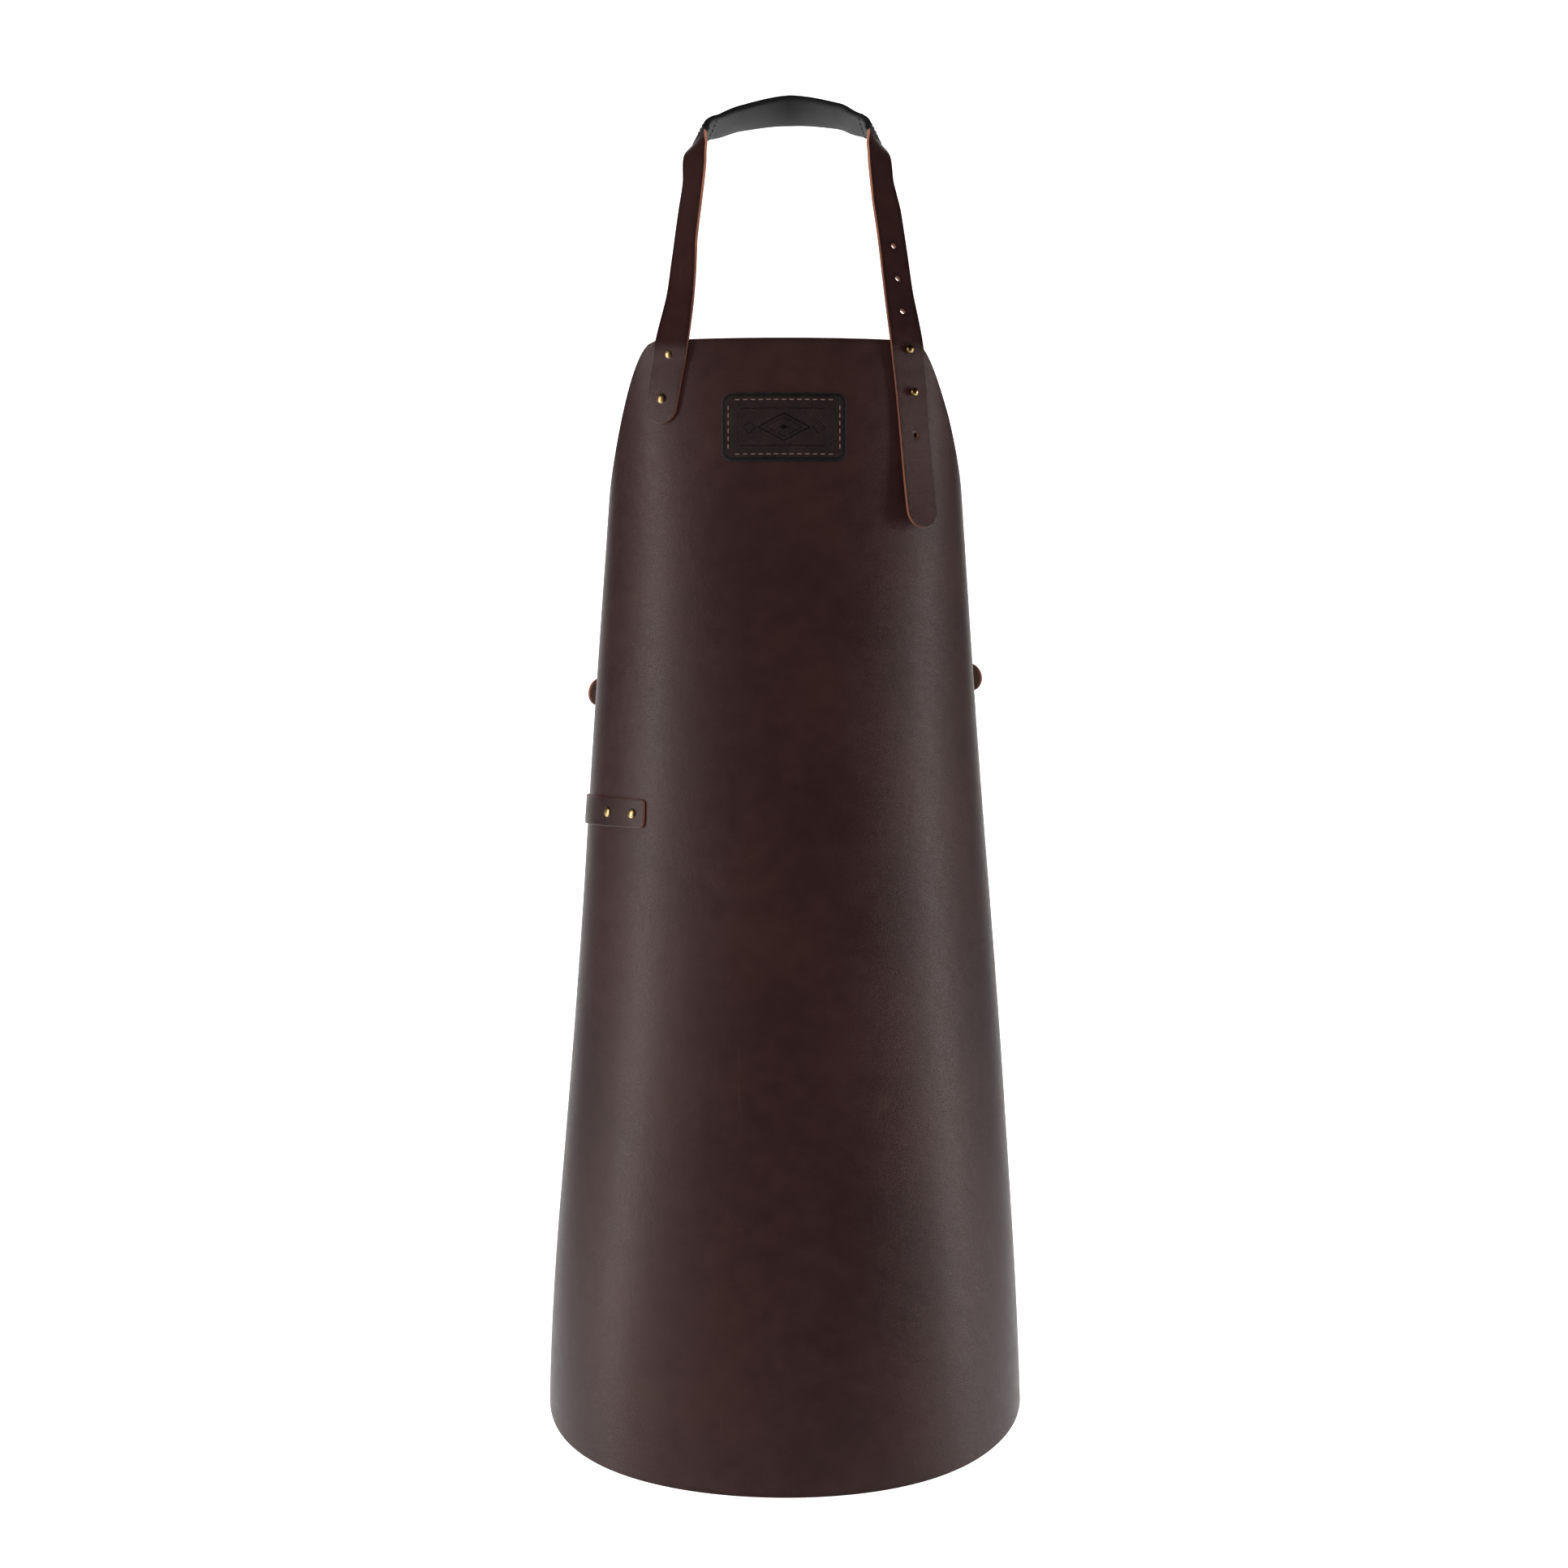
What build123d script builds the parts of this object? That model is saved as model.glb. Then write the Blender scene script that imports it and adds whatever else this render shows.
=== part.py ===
from build123d import *
import math
import os

# A leather welding apron, hanging as it does on a wearer. The frame is the wearer's: the origin
# is where the neck pad rests on the neck, +Z is up, -Y is forwards and +X is to the right of
# someone who faces the apron. "left" and "right" are as that person sees them. Millimetres.

# The sheet: one piece of leather, wrapped round the body as part of an elliptical cone.
LENGTH = 800.0  # top of the bib to the hem, down the front
SHEET = 2.0  # leather thickness of the sheet
FRONT_Y = -129.5  # the front line of the sheet
BIB_Z = -177.4  # the top edge of the bib
TOP_HALF_WIDTH, HALF_WIDTH_PER_DROP = 116.0, 0.0753
TUCK_DROP, TUCK = 620.0, 6.0  # below this drop the sides are pulled in again, by this at the hem
TOP_HALF_DEPTH, HEM_HALF_DEPTH, DEPTH_POWER = 55.0, 135.0, 2.6
EDGE_BACK = 178.0  # how far behind the front line the two back edges hang
WAIST_CORNER_DROP, WAIST_CORNER_R = 214.0, 20.0
HEM_RISE, HEM_CORNER_R = 76.0, 62.0  # the hem rises this much to the back edges
SHEET_REACH = 150  # degrees each way from the front that the cone is built before trimming

# The straps.
NECK_STRAP_WIDTH, STRAP = 25.0, 2.2
NARROW_WIDTH, NARROW = 20.0, 2.0  # waist strap and towel strap
HOLE_R, HOLE_PITCH = 2.25, 30.0  # adjustment holes of the neck strap
STUD_DROPS = (6.3, 35.6)  # the two neck studs, below the top of the bib
WAIST_HOLE_STEP = 11.0  # degrees round the back between the waist strap's holes
CLEAR = 0.1  # between two pieces of leather that lie on each other

# Rivets (a cap over a post with a foot) and button studs (screwed from behind).
RIVET_HEAD_R, RIVET_HEAD, RIVET_DOME, RIVET_POST_R, RIVET_FOOT = 3.4, 1.6, 1.1, 1.5, 0.7
RIVET_SEAT = 0.06  # under the cap, over the curve of the leather
STUD_BASE_R, STUD_BASE, STUD_NECK_R, STUD_BALL_R, STUD_GAP = 4.5, 0.8, 1.9, 2.9, 0.35
SCREW_HEAD_R, SCREW_HEAD, SCREW_R, SCREW_FIT = 3.8, 1.0, 1.25, 0.05
SLOT_WIDTH, SLOT_DEPTH = 0.9, 0.5

# The neck pad: a cover and a lining with the strap ends and a filler between them.
PAD_LEATHER, PAD_CLEAR = 1.5, 0.2
PAD_OVERLAP = 16.0  # how much of each strap end is inside the pad
PAD_EXTRA = 2.0  # the pad is this much wider than the strap
STATION = 4.0  # spacing of the sections along the loop
THREAD, THREAD_GAP, STITCH_LENGTH, STITCH_WIDTH, STITCH_PITCH = 0.4, 0.04, 3.6, 0.8, 5.3

# The label on the bib.
LABEL_WIDTH, LABEL_HEIGHT, LABEL_CORNER_R, LABEL_DROP = 86.0, 47.5, 7.0, 61.6
LABEL_BACKING, LABEL_FACE, LABEL_SEAM_INSET = 0.8, 1.4, 5.0

# The leather bends along hinge lines: across the neck straps at the top of the bib, and down the
# waist strap just behind each back edge. Its solids stop short of them.
NECK_GAP_BELOW = 1.5
LEFT_GAP_STATIONS, RIGHT_GAP_STATIONS = 2, 3
WAIST_BEND, WAIST_GAP = 140.5, 1.3  # degrees from the front, and degrees each side of the bend

# The waist strap runs round the back a little lower on the left than on the right.
WAIST_DROP, WAIST_SLANT = 236.0, 0.07  # at the middle of the back, and drop per degree round it
WAIST_RIVETS = (128.5, 120.5)
WAIST_TIP_START = 118.5
RIGHT_TIP, RIGHT_FLARE = 33.0, 12.0  # length in front of the rivets, and degrees that it stands off
LEFT_TIP, LEFT_FLARE = 33.0, 6.0
WAIST_LEFT_END, WAIST_STUD, WAIST_RIGHT_END = 184.0, 190.0, 199.0

# The towel strap lies round the left hip.
TOWEL_DROP, TOWEL_RISE = 328.5, 0.08  # at its front end, and rise per degree round it
TOWEL_FRONT, TOWEL_BACK = 43.6, 118.5
TOWEL_RIVETS = (48.3, 60.3, 103.0, 114.0)

os.makedirs("parts", exist_ok=True)


def write(name, *solids):
    """Writes one node; several solids make one node of separate pieces."""
    export_step(solids[0] if len(solids) == 1 else Compound(children=list(solids)), f"parts/{name}.step")


# --------------------------------------------------------------- the cone that the leather follows


def half_width(drop):
    tuck = max(0.0, (drop - TUCK_DROP) / (LENGTH - TUCK_DROP))
    return TOP_HALF_WIDTH + HALF_WIDTH_PER_DROP * drop - TUCK * tuck**2


def half_depth(drop):
    return HEM_HALF_DEPTH - (HEM_HALF_DEPTH - TOP_HALF_DEPTH) * (1 - drop / LENGTH) ** DEPTH_POWER


def on_cone(angle, drop):
    """The point of the sheet's outer face at so many degrees from the front, so far down."""
    turn = math.radians(angle)
    back = half_depth(drop) * (1 - math.cos(turn))
    return Vector(half_width(drop) * math.sin(turn), FRONT_Y + back, BIB_Z - drop)


def outward(angle, drop):
    round_it = on_cone(angle + 0.5, drop) - on_cone(angle - 0.5, drop)
    down_it = on_cone(angle, drop + 0.5) - on_cone(angle, drop - 0.5)
    return down_it.cross(round_it).normalized()


def layer(inner, outer, reach, first=0.0, last=LENGTH, sections=11):
    """A layer of the cone between two offsets from the sheet's outer face."""
    faces = []
    for i in range(sections):
        drop = first + (last - first) * i / (sections - 1)
        arcs = [
            EllipticalCenterArc(
                (0, FRONT_Y + half_depth(drop)),
                half_width(drop) + offset,
                half_depth(drop) + offset,
                start_angle=270 - reach,
                arc_size=2 * reach,
            )
            for offset in (inner, outer)
        ]
        ends = [Line(arcs[0] @ k, arcs[1] @ k) for k in (0, 1)]
        faces.append(Pos(0, 0, BIB_Z - drop) * make_face([*arcs, *ends]))
    return loft(faces)


# ------------------------------------------------------------------- ribbons: straps of even width


def frame(point, along, normal):
    """A plane across a strap: local x runs across it, local y is its outward normal."""
    along = along.normalized()
    across = normal.cross(along).normalized()
    return Plane(origin=point, x_dir=across, z_dir=along)


def lying(places):
    """Frames of a strap that lies on the cone, from its (degrees, drop, lift) places."""
    points = [on_cone(a, d) + outward(a, d) * lift for a, d, lift in places]
    frames = []
    for i, (angle, drop, _) in enumerate(places):
        along = points[min(i + 1, len(points) - 1)] - points[max(i - 1, 0)]
        frames.append(frame(points[i], along, outward(angle, drop)))
    return frames


def ribbon(frames, width, inner, outer):
    thick = outer - inner
    return loft([f * Pos(0, (inner + outer) / 2) * Rectangle(width, thick) for f in frames])


def rounded(strap, end, width, towards=1):
    """Rounds the end of a strap to a half circle; towards is -1 where the strap starts there."""
    on_top = Plane(origin=end.origin, x_dir=end.x_dir, z_dir=end.y_dir)
    half = width / 2
    corners = Pos(0, towards * (half / 2 - 1)) * Rectangle(width + 4, half + 2)
    corners -= Pos(0, towards * half) * Circle(half)
    return strap - extrude(on_top * corners, amount=12, both=True)


def face_of(place):
    """The plane on the leather's face at a frame: local z points outwards."""
    return Plane(origin=place.origin, x_dir=place.x_dir, z_dir=place.y_dir)


def hole(place, radius):
    return face_of(place) * Cylinder(radius, 24)


def between(first, last, count):
    return [first + (last - first) * i / (count - 1) for i in range(count)]


# --------------------------------------------------------------------------------------- fasteners


def turned(profile):
    """A solid turned about the local z axis from its (radius, height) outline."""
    return revolve(Plane.XZ * make_face(Polyline(*profile, close=True)), Axis.Z)


def rivet(place, top, bottom):
    """Cap and post; top and bottom are the leather's outer and inner faces above the frame."""
    ball_r = (RIVET_HEAD_R**2 + RIVET_DOME**2) / (2 * RIVET_DOME)
    cap = Pos(0, 0, top + RIVET_HEAD / 2) * Cylinder(RIVET_HEAD_R, RIVET_HEAD)
    cap &= Pos(0, 0, top + RIVET_HEAD - ball_r) * Sphere(ball_r)
    post = [
        (0, bottom - RIVET_FOOT),
        (RIVET_HEAD_R, bottom - RIVET_FOOT),
        (RIVET_HEAD_R, bottom),
        (RIVET_POST_R, bottom),
        (RIVET_POST_R, top),
        (0, top),
    ]
    return face_of(place) * cap, face_of(place) * turned(post)


def stud(place, base, leather, bottom):
    """Button stud and its screw: base is the stud's seat, leather the strap above its flange."""
    shoulder = base + STUD_BASE
    neck_top = shoulder + leather + STUD_GAP
    centre = neck_top + math.sqrt(STUD_BALL_R**2 - STUD_NECK_R**2)
    body = Pos(0, 0, base + STUD_BASE / 2) * Cylinder(STUD_BASE_R, STUD_BASE)
    body += Pos(0, 0, (shoulder + centre) / 2) * Cylinder(STUD_NECK_R, centre - shoulder)
    body += Pos(0, 0, centre) * Sphere(STUD_BALL_R)
    screw_top = neck_top - 0.3
    bore = screw_top + 0.3 - base
    body -= Pos(0, 0, base + bore / 2) * Cylinder(SCREW_R + SCREW_FIT, bore)
    screw = Pos(0, 0, bottom - SCREW_HEAD / 2) * Cylinder(SCREW_HEAD_R, SCREW_HEAD)
    screw += Pos(0, 0, (bottom + screw_top) / 2) * Cylinder(SCREW_R, screw_top - bottom)
    screw -= Pos(0, 0, bottom - SCREW_HEAD) * Box(3 * SCREW_HEAD_R, SLOT_WIDTH, 2 * SLOT_DEPTH)
    return face_of(place) * body, face_of(place) * screw


# --------------------------------------------------------- the sheet's outline, seen from the side


def side_point(back, drop):
    return FRONT_Y + back, BIB_Z - drop


bib_corner = Spline(
    side_point(20, 0),
    side_point(32, 15),
    side_point(44, 42),
    side_point(62, 84),
    side_point(82, 112),
    tangents=[(1, 0), (0.66, -0.75)],
)
waist_corner = side_point(EDGE_BACK, WAIST_CORNER_DROP)
hem_corner = side_point(EDGE_BACK, LENGTH - HEM_RISE)
hem = ThreePointArc(side_point(0, LENGTH), side_point(EDGE_BACK / 3, LENGTH - HEM_RISE / 4), hem_corner)
side_outline = make_face(
    [
        Line(side_point(-20, 0), side_point(20, 0)),
        bib_corner,
        Line(side_point(82, 112), waist_corner),
        Line(waist_corner, hem_corner),
        hem,
        Line(side_point(0, LENGTH), side_point(-20, LENGTH)),
        Line(side_point(-20, LENGTH), side_point(-20, 0)),
    ]
)
back_corners = side_outline.vertices().sort_by(Axis.X)[-2:].sort_by(Axis.Y)
side_outline = fillet(back_corners[1], WAIST_CORNER_R)
hem_vertex = side_outline.vertices().filter_by(
    lambda v: abs(v.X - hem_corner[0]) < 0.01 and abs(v.Y - hem_corner[1]) < 0.01
)
side_outline = fillet(hem_vertex, HEM_CORNER_R)
apron_body = layer(-SHEET, 0, SHEET_REACH) & extrude(Plane.YZ * side_outline, amount=220, both=True)


# ------------------------------------------------------------ neck strap, left: riveted to the bib

MID = STRAP / 2
LEFT_END_DROP, LEFT_RIVET_DROPS = 57.5, (40.2, 9.6)


def left_place(drop):
    return -41.5 - 0.08 * drop, drop, CLEAR + MID


left_drops = between(LEFT_END_DROP, NECK_GAP_BELOW, 4)
left_lower_frames = lying([left_place(d) for d in left_drops])
left_lower = ribbon(left_lower_frames, NECK_STRAP_WIDTH, -MID, MID)
left_lower = rounded(left_lower, left_lower_frames[0], NECK_STRAP_WIDTH, towards=-1)
left_rivet_frames = lying([left_place(d) for d in LEFT_RIVET_DROPS])
for place in left_rivet_frames:
    left_lower -= hole(place, RIVET_POST_R + CLEAR)
    apron_body -= hole(place, RIVET_POST_R + CLEAR)

# ------------------------------------------------- neck strap, right: held by two studs, tail free

RIGHT_LIFT = STUD_BASE + 2 * CLEAR + MID
right_lower_places = [
    (46.3, NECK_GAP_BELOW, RIGHT_LIFT),
    (47.0, 20, RIGHT_LIFT),
    (47.6, 45, RIGHT_LIFT),
    (47.6, 75, RIGHT_LIFT + 1.2),
    (47.0, 102, RIGHT_LIFT + 4.0),
    (46.2, 130, RIGHT_LIFT + 8.5),
]
right_lower_frames = lying(right_lower_places)
right_lower = ribbon(right_lower_frames, NECK_STRAP_WIDTH, -MID, MID)
right_lower = rounded(right_lower, right_lower_frames[-1], NECK_STRAP_WIDTH)
stud_frames = lying([(46.5, STUD_DROPS[0], RIGHT_LIFT), (47.4, STUD_DROPS[1], RIGHT_LIFT)])
spare_drop = STUD_DROPS[1] + HOLE_PITCH
spare_hole = lying([(47.6, spare_drop - 8, RIGHT_LIFT + 0.5), (47.6, spare_drop, RIGHT_LIFT + 0.8)])[1]
for place in [*stud_frames, spare_hole]:
    right_lower -= hole(place, HOLE_R)
for place in stud_frames:
    apron_body -= hole(place, SCREW_R + CLEAR)

# -------------------------------------------------- neck loop: both straps and the pad on one line


def loop_point(x, back, up):
    return Vector(x, FRONT_Y + back, BIB_Z + up)


# Each place has the line's point and the strap's across direction there, from its inner to its
# outer edge: it lies nearly flat on the bib and is turned edge-on by the time it meets the pad.
LOOP = [
    (loop_point(-76.8, 13, 0), (-0.90, 0.42, -0.10)),
    (loop_point(-72.0, 39, 38), (-0.78, 0.52, -0.34)),
    (loop_point(-69.6, 59.5, 72), (-0.67, 0.64, -0.38)),
    (loop_point(-67.6, 78.5, 103.5), (-0.60, 0.69, -0.40)),
    (loop_point(-66.0, 92, 127), (-0.54, 0.73, -0.42)),
    (loop_point(-63.8, 102.5, 147), (-0.45, 0.78, -0.43)),
    (loop_point(-57.5, 110.5, 162), (-0.10, 0.93, -0.36)),
    (loop_point(-46, 117, 167.5), (0.0, 0.92, -0.39)),
    (loop_point(-31, 123.5, 173.2), (0.0, 0.87, -0.49)),
    (loop_point(4, 131.5, 179.4), (0.0, 0.71, -0.70)),
    (loop_point(39, 123.5, 174.2), (0.0, 0.87, -0.49)),
    (loop_point(50, 117, 168.5), (0.0, 0.92, -0.39)),
    (loop_point(61.5, 110.5, 162), (0.10, 0.93, -0.36)),
    (loop_point(67.0, 102.5, 147), (0.45, 0.78, -0.43)),
    (loop_point(70.6, 92, 127), (0.60, 0.69, -0.41)),
    (loop_point(73.4, 78, 103), (0.74, 0.57, -0.36)),
    (loop_point(76.5, 59, 70.5), (0.80, 0.51, -0.31)),
    (loop_point(79.6, 39, 39.5), (0.82, 0.49, -0.28)),
    (loop_point(84, 13.5, 0), (0.90, 0.42, -0.10)),
]
line = Spline(*[point for point, _ in LOOP])
reached = [0.0]
for (a, _), (b, _) in zip(LOOP, LOOP[1:]):
    reached.append(reached[-1] + (b - a).length)
marks = [r / reached[-1] for r in reached]


def loop_frame(fraction):
    """The frame of the loop at a fraction of its length; local x runs to the outer edge."""
    i = max(k for k in range(len(marks) - 1) if marks[k] <= fraction)
    share = (fraction - marks[i]) / (marks[i + 1] - marks[i])
    across = Vector(*LOOP[i][1]) * (1 - share) + Vector(*LOOP[i + 1][1]) * share
    along = line.tangent_at(fraction)
    return frame(line.position_at(fraction), along, along.cross(across))


# The places of LOOP where each strap turns into the pad, and the middle of the pad.
LEFT_CORNER, PAD_MIDDLE, RIGHT_CORNER = 6, 9, 12

# All the loop's layers share one even row of stations, so that they lie on each other.
station_count = round(line.length / STATION)
left_end = round(station_count * marks[LEFT_CORNER]) + 2
right_start = round(station_count * marks[RIGHT_CORNER]) - 2
overlap = round(PAD_OVERLAP / STATION)


def along_loop(first, last):
    return [loop_frame(i / station_count) for i in range(first, last + 1)]


left_stations = along_loop(LEFT_GAP_STATIONS, left_end)
right_stations = along_loop(right_start, station_count - RIGHT_GAP_STATIONS)
neck_left_upper = ribbon(left_stations, NECK_STRAP_WIDTH, -MID, MID)
neck_right_upper = ribbon(right_stations, NECK_STRAP_WIDTH, -MID, MID)
neck_holes = [loop_frame(1 - (HOLE_PITCH * k - STUD_DROPS[0]) / line.length) for k in (1, 2, 3)]
for place in neck_holes:
    neck_right_upper -= hole(place, HOLE_R)
pad_frames = along_loop(left_end - overlap, right_start + overlap)
pad_face = MID + PAD_CLEAR + PAD_LEATHER
pad_cover = ribbon(pad_frames, NECK_STRAP_WIDTH + PAD_EXTRA, MID + PAD_CLEAR, pad_face)
pad_lining = ribbon(pad_frames, NECK_STRAP_WIDTH + PAD_EXTRA, -pad_face, -MID - PAD_CLEAR)
pad_filler = ribbon(along_loop(left_end + 1, right_start - 1), NECK_STRAP_WIDTH, -MID, MID)

# Two rows of five stitches across each strap end, on both faces of the pad. They are straight
# and the pad is arched, so they stand a little off it.
PAD_THREAD_GAP = 0.2
pad_stitch = Box(STITCH_LENGTH, THREAD, STITCH_WIDTH)
pad_stitches = []
for row in (left_end - 1, left_end - overlap + 1, right_start + 1, right_start + overlap - 1):
    for k in range(-2, 3):
        for side in (-1, 1):
            at = Pos(k * STITCH_PITCH, side * (pad_face + PAD_THREAD_GAP + THREAD / 2))
            pad_stitches.append(loop_frame(row / station_count) * at * pad_stitch)


# -------------------------------------------------------------------------------- label on the bib


def label_layer(inner, outer, outline):
    """A layer of the bib that keeps to an outline seen from the front."""
    around = layer(inner, outer, 28, LABEL_DROP - LABEL_HEIGHT, LABEL_DROP + LABEL_HEIGHT, 5)
    return around & extrude(Plane.XZ * Pos(0, BIB_Z - LABEL_DROP) * outline, amount=220)


label_outline = RectangleRounded(LABEL_WIDTH, LABEL_HEIGHT, LABEL_CORNER_R)
backing_face = CLEAR + LABEL_BACKING
label_face = backing_face + CLEAR + LABEL_FACE
label_backing = label_layer(CLEAR, backing_face, label_outline)
label_patch = label_layer(backing_face + CLEAR, label_face, label_outline)
seam_width, seam_height = LABEL_WIDTH - 2 * LABEL_SEAM_INSET, LABEL_HEIGHT - 2 * LABEL_SEAM_INSET
label_stitches = Sketch()
for length, offset, turn in ((seam_width, seam_height / 2, 0), (seam_height, seam_width / 2, 90)):
    count = int((length - 2) / STITCH_PITCH)
    for k in range(count):
        for side in (-1, 1):
            at = Rot(0, 0, turn) * Pos((k - (count - 1) / 2) * STITCH_PITCH, side * offset)
            label_stitches += at * Rectangle(STITCH_LENGTH, STITCH_WIDTH)
label_stitching = label_layer(label_face + THREAD_GAP, label_face + THREAD_GAP + THREAD, label_stitches)

# --------------------------------------------------------------- towel strap, riveted at both ends

NARROW_MID = NARROW / 2
ON_SHEET = CLEAR + NARROW_MID


def towel_place(angle):
    return -angle, TOWEL_DROP - TOWEL_RISE * (angle - TOWEL_FRONT), ON_SHEET


towel_frames = lying([towel_place(a) for a in between(TOWEL_FRONT, TOWEL_BACK, 16)])
towel_strap = ribbon(towel_frames, NARROW_WIDTH, -NARROW_MID, NARROW_MID)
towel_strap = fillet(towel_strap.edges().filter_by(lambda e: abs(e.length - NARROW) < 0.02), 3)

# ------------------------------------------------ waist strap: two halves, studded together behind


def waist_place(angle, lift=ON_SHEET):
    """angle runs from the right side round the back to the left side, 180 at its middle."""
    return angle, WAIST_DROP + WAIST_SLANT * (angle - 180), lift


def waist_end(side, tip_length, flare_degrees):
    """The riveted end of one half; side is 1 for right and -1 for left."""
    angles = [180 - side * (180 - a) for a in between(WAIST_BEND - WAIST_GAP, WAIST_TIP_START, 7)]
    frames = lying([waist_place(a) for a in angles])
    point, along, normal = frames[-1].origin, frames[-1].z_dir, frames[-1].y_dir
    pieces = 6
    for k in range(1, pieces + 1):
        flare = math.radians(flare_degrees * min(1, k / 3))
        heading = along * math.cos(flare) + normal * math.sin(flare)
        point = point + heading * (tip_length / pieces)
        frames.append(frame(point, heading, normal * math.cos(flare) - along * math.sin(flare)))
    strap = ribbon(frames, NARROW_WIDTH, -NARROW_MID, NARROW_MID)
    return rounded(strap, frames[-1], NARROW_WIDTH)


def over_the_stud(angle):
    """How far the right half stands off the cone, where it passes over the left half's stud."""
    share = min(1.0, max(0.0, (angle - 150) / 20))
    return ON_SHEET + (NARROW + STUD_BASE + 3 * CLEAR) * share * share * (3 - 2 * share)


waist_right_end = waist_end(1, RIGHT_TIP, RIGHT_FLARE)
waist_left_end = waist_end(-1, LEFT_TIP, LEFT_FLARE)
right_angles = between(WAIST_BEND + WAIST_GAP, WAIST_RIGHT_END, 16)
right_frames = lying([waist_place(a, over_the_stud(a)) for a in right_angles])
waist_right = ribbon(right_frames, NARROW_WIDTH, -NARROW_MID, NARROW_MID)
waist_right = rounded(waist_right, right_frames[-1], NARROW_WIDTH)
left_angles = between(360 - WAIST_BEND - WAIST_GAP, WAIST_LEFT_END, 10)
left_frames = lying([waist_place(a) for a in left_angles])
waist_left = ribbon(left_frames, NARROW_WIDTH, -NARROW_MID, NARROW_MID)
waist_left = rounded(waist_left, left_frames[-1], NARROW_WIDTH)


def waist_frame(angle, lift=ON_SHEET):
    return lying([waist_place(a, lift) for a in (angle - 0.5, angle, angle + 0.5)])[1]


for k in range(4):
    angle = WAIST_STUD - k * WAIST_HOLE_STEP
    waist_right -= hole(waist_frame(angle, over_the_stud(angle)), HOLE_R)
waist_left -= hole(waist_frame(WAIST_STUD), SCREW_R + CLEAR)

# ------------------------------------------------------------------------------ fasteners in place

SHEET_BACK = SHEET + 2 * CLEAR  # the sheet's inner face, with room for its curve under a flat foot
rivets = {}
for name, place in zip(("lower", "upper"), left_rivet_frames):
    rivets[f"neck_rivet_{name}"] = rivet(place, MID + RIVET_SEAT, -MID - SHEET_BACK)
narrow_back = -NARROW_MID - SHEET_BACK
for k, angle in enumerate(TOWEL_RIVETS, 1):
    place = lying([towel_place(angle - 0.5), towel_place(angle), towel_place(angle + 0.5)])[1]
    rivets[f"towel_rivet_{k}"] = rivet(place, NARROW_MID + RIVET_SEAT, narrow_back)
    towel_strap -= hole(place, RIVET_POST_R + CLEAR)
    apron_body -= hole(place, RIVET_POST_R + CLEAR)
for side, strap_name in ((1, "right"), (-1, "left")):
    for k, angle in enumerate(WAIST_RIVETS, 1):
        place = waist_frame(180 - side * (180 - angle))
        rivets[f"waist_rivet_{strap_name}_{k}"] = rivet(place, NARROW_MID + RIVET_SEAT, narrow_back)
        drill = hole(place, RIVET_POST_R + CLEAR)
        apron_body -= drill
        if side > 0:
            waist_right_end -= drill
        else:
            waist_left_end -= drill

neck_studs = [stud(place, CLEAR - RIGHT_LIFT, STRAP + CLEAR, -RIGHT_LIFT - SHEET_BACK) for place in stud_frames]
waist_stud = stud(waist_frame(WAIST_STUD), NARROW_MID + CLEAR, NARROW + CLEAR, -NARROW_MID - CLEAR)

# --------------------------------------------------------------------------------------- the nodes

write("apron_body", apron_body)
write("neck_strap_left_lower", left_lower)
write("neck_strap_left_upper", neck_left_upper)
write("neck_strap_right_lower", right_lower)
write("neck_strap_right_upper", neck_right_upper)
write("neck_pad_cover", pad_cover)
write("neck_pad_lining", pad_lining)
write("neck_pad_filler", pad_filler)
write("neck_pad_stitching", *pad_stitches)
write("label_backing", label_backing)
write("label_patch", label_patch)
write("label_stitching", *label_stitching.solids())
write("towel_strap", towel_strap)
write("waist_strap_right_end", waist_right_end)
write("waist_strap_left_end", waist_left_end)
write("waist_strap_right", waist_right)
write("waist_strap_left", waist_left)
for name, (cap, post) in rivets.items():
    write(f"{name}_cap", cap)
    write(f"{name}_post", post)
stud_names = ("neck_stud_upper", "neck_stud_lower", "waist_stud")
for name, (button, screw) in zip(stud_names, [*neck_studs, waist_stud]):
    write(name, button)
    write(f"{name}_screw", screw)

# -------------------------------------------------------------- the hinge lines and the neck holes

bib_top = [line.position_at(0), line.position_at(1)]
print("neck hinge point", (bib_top[0] + bib_top[1]) * 0.5)
for name, angle in (("right", WAIST_BEND), ("left", 360 - WAIST_BEND)):
    bend = waist_frame(angle)
    print("waist hinge", name, bend.origin, "axis", bend.x_dir)
middle = loop_frame(marks[PAD_MIDDLE])
print("pad rest", middle.origin - middle.y_dir * pad_face, "faces", middle.y_dir * -1)
for k, place in enumerate(neck_holes, 1):
    print("neck hole", k, place.origin, "axis", place.y_dir)
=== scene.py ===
import math

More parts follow.
